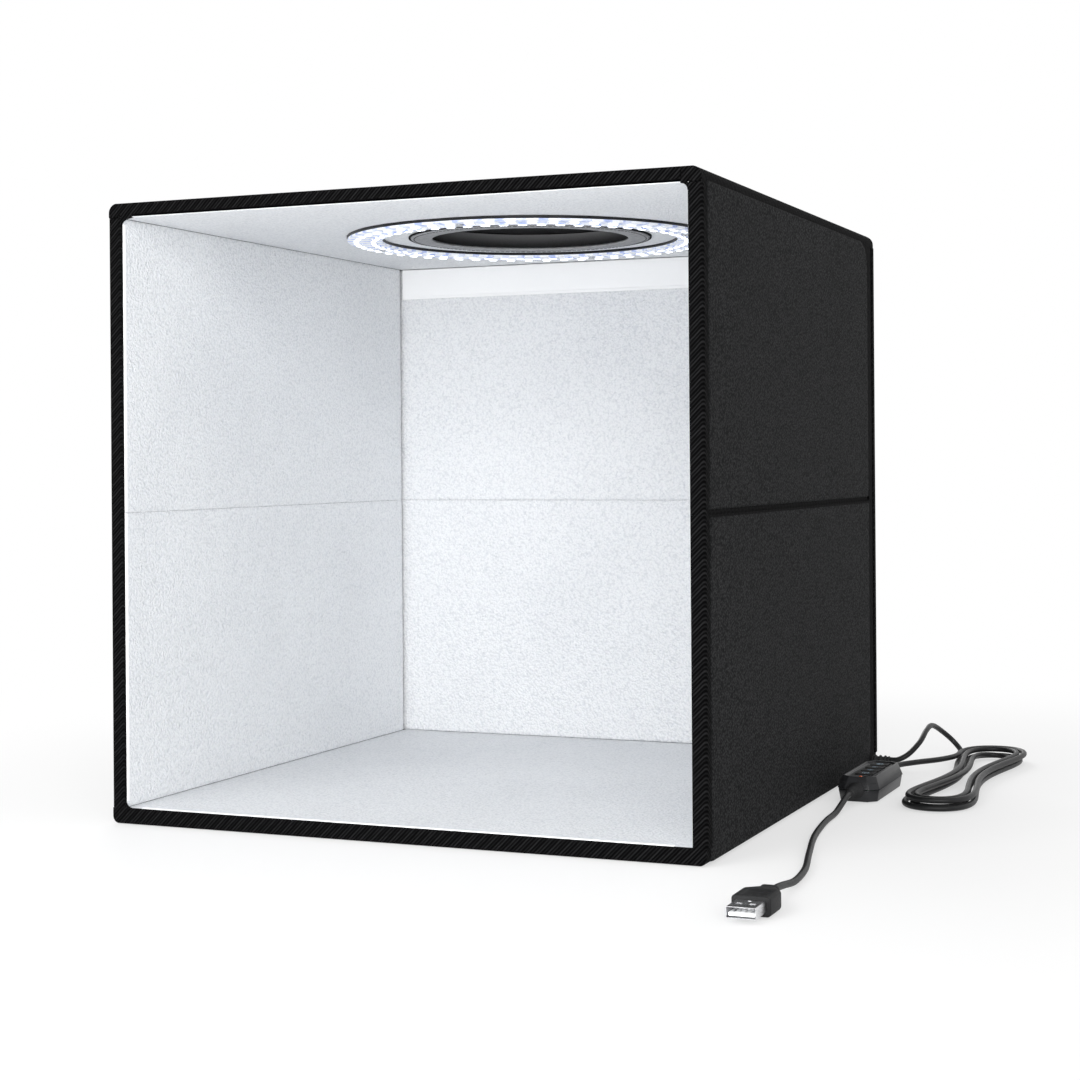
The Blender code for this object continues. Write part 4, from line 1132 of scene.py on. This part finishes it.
def makeFlap():
    w, front, rear, corner, edge, under = (flapForm[key] for key in (
        "halfWidth", "front", "rear", "corner", "edge", "under"))
    low, high = flapForm["low"], flapForm["low"] + flapForm["thick"]
    flap = flatSheet("portFlap", (-w + edge, w - edge, front + edge, rear - 2 * mm),
            (corner - edge, corner - edge, 2 * mm, 2 * mm), 0.9 * mm, 0.3 * mm, 1.0 * mm,
            0.12 * mm, (56, 60), 3.1)
    flap.data.transform(Matrix.Translation((0, 0, high - 0.1 * mm)))
    fit(flap, "port_cover", "cover", "cover_cloth", "port_cover")
    tape = block("flapBinding", (-w, front, low), (w, rear, high))
    roundAlong(tape, 2, corner, 12, y=front)
    pick(tape, "FACE", lambda face: abs(face.normal.z) > 0.9)
    bpy.ops.mesh.inset(thickness=flapForm["tape"])
    bpy.ops.mesh.bridge_edge_loops()
    done()
    fit(soften(tape, 0.55 * mm, 3, 60, 50), "port_cover", "tape", "binding_cloth")
    backing = block("flapUnder", (-w + under, front + under, low - 0.05 * mm),
            (w - under, rear - under, low + 0.5 * mm))
    roundAlong(backing, 2, corner - under, 12, y=front + under)
    fit(backing, "port_cover", "dark", "cover_cloth")
    tabLow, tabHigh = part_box("port_cover_tab")
    tab = block("flapTab", tabLow, tabHigh + Vector((0, 4 * mm, 0)))
    roundAlong(tab, 2, 5 * mm, 8, y=tabLow.y)
    soften(tab, 0.5 * mm, 3, 60, 50)
    tab.data.transform(Matrix.Translation((0, 0, 0.25 * mm)))
    fit(tab, "port_cover", "tape", "binding_cloth", "port_cover_tab")
    strap = block("flapHingeStrap", *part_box("port_cover_hinge"))
    roundAlong(strap, 2, 3 * mm, 6)
    soften(strap, 0.4 * mm, 3, 60, 50)
    fit(strap, "top", "tape", "binding_cloth", "port_cover_hinge")


makePort()
makeFlap()
print("camera port made")

# floor, light, background
ground = {"pale": 0.86, "near": 0.30, "far": 0.62, "whiteNear": 0.55, "whiteGain": 0.45,
          "worldLight": 0.66}


def viewRays(start):  # 1 for rays from the camera, mirrored or passed through, else 0
    seen, mirrored, through = (start.node("LightPath", out=f"Is {kind} Ray")
            for kind in ("Camera", "Glossy", "Transmission"))
    return (seen + mirrored + through).maths("MINIMUM", 1.0)


bpy.ops.mesh.primitive_plane_add(size=8, location=(0, 0, -0.0003))
floor = named("paleFloor")
floorFinish = bpy.data.materials.new("paleFloor")
floorFinish.use_nodes = True
tree = floorFinish.node_tree
shader = tree.nodes["Principled BSDF"]
shader.inputs["Base Color"].default_value = (*(ground["pale"],) * 3, 1)
shader.inputs["Roughness"].default_value = 0.9
shader.inputs["Specular IOR Level"].default_value = 0.1
start = Wire(tree)
spread = start.node("VectorMath", {0: start.node("TexCoord", out="Object")}, out="Value",
        operation="LENGTH")
away = spread.between(ground["near"], ground["far"])
glow = start.node("Emission", {"Color": (1, 1, 1, 1), "Strength": 1.0})
white = viewRays(start) * (away * ground["whiteGain"] + ground["whiteNear"])
mixed = start.node("MixShader", {0: white, 1: Wire(tree, shader.outputs[0]), 2: glow})
tree.links.new(mixed.socket, tree.nodes["Material Output"].inputs["Surface"])
floor.data.materials.append(floorFinish)

world = bpy.data.worlds.new("paleStudio")
bpy.context.scene.world = world
world.use_nodes = True
tree = world.node_tree
sky = tree.nodes["Background"]
sky.inputs["Color"].default_value = (1, 1, 1, 1)
worldLight = ground["worldLight"]
tree.links.new((viewRays(Wire(tree)) * (1 - worldLight) + worldLight).socket,
        sky.inputs["Strength"])

lights = {
    # place, aim, size, power
    "keyLight": ((-0.75, -1.55, 1.35), (0, 0, 0.15), 1.1, 15),
    "frontFill": ((0.95, -1.7, 0.40), (-0.04, 0, 0.15), 1.1, 27),
    "sideLight": ((1.6, 0.2, 1.1), (0.1, 0, 0.12), 1.0, 2.5),
    "lowFill": ((0.05, -0.62, 0.06), (0, 0.14, 0.27), 0.3, 1.7),
    "rearLight": ((-0.9, 1.5, 1.1), (0, 0.1, 0.12), 1.0, 16),
}
for name, (place, aim, size, power) in lights.items():
    bpy.ops.object.light_add(type="AREA", location=place)
    lamp = bpy.context.object
    lamp.name = name
    lamp.data.size = size
    lamp.data.energy = power
    lamp.visible_camera = False
    toward = Vector(aim) - Vector(place)
    lamp.rotation_euler = toward.to_track_quat("-Z", "Y").to_euler()
bpy.context.scene.view_settings.view_transform = "Standard"
print("floor, lights and background made")
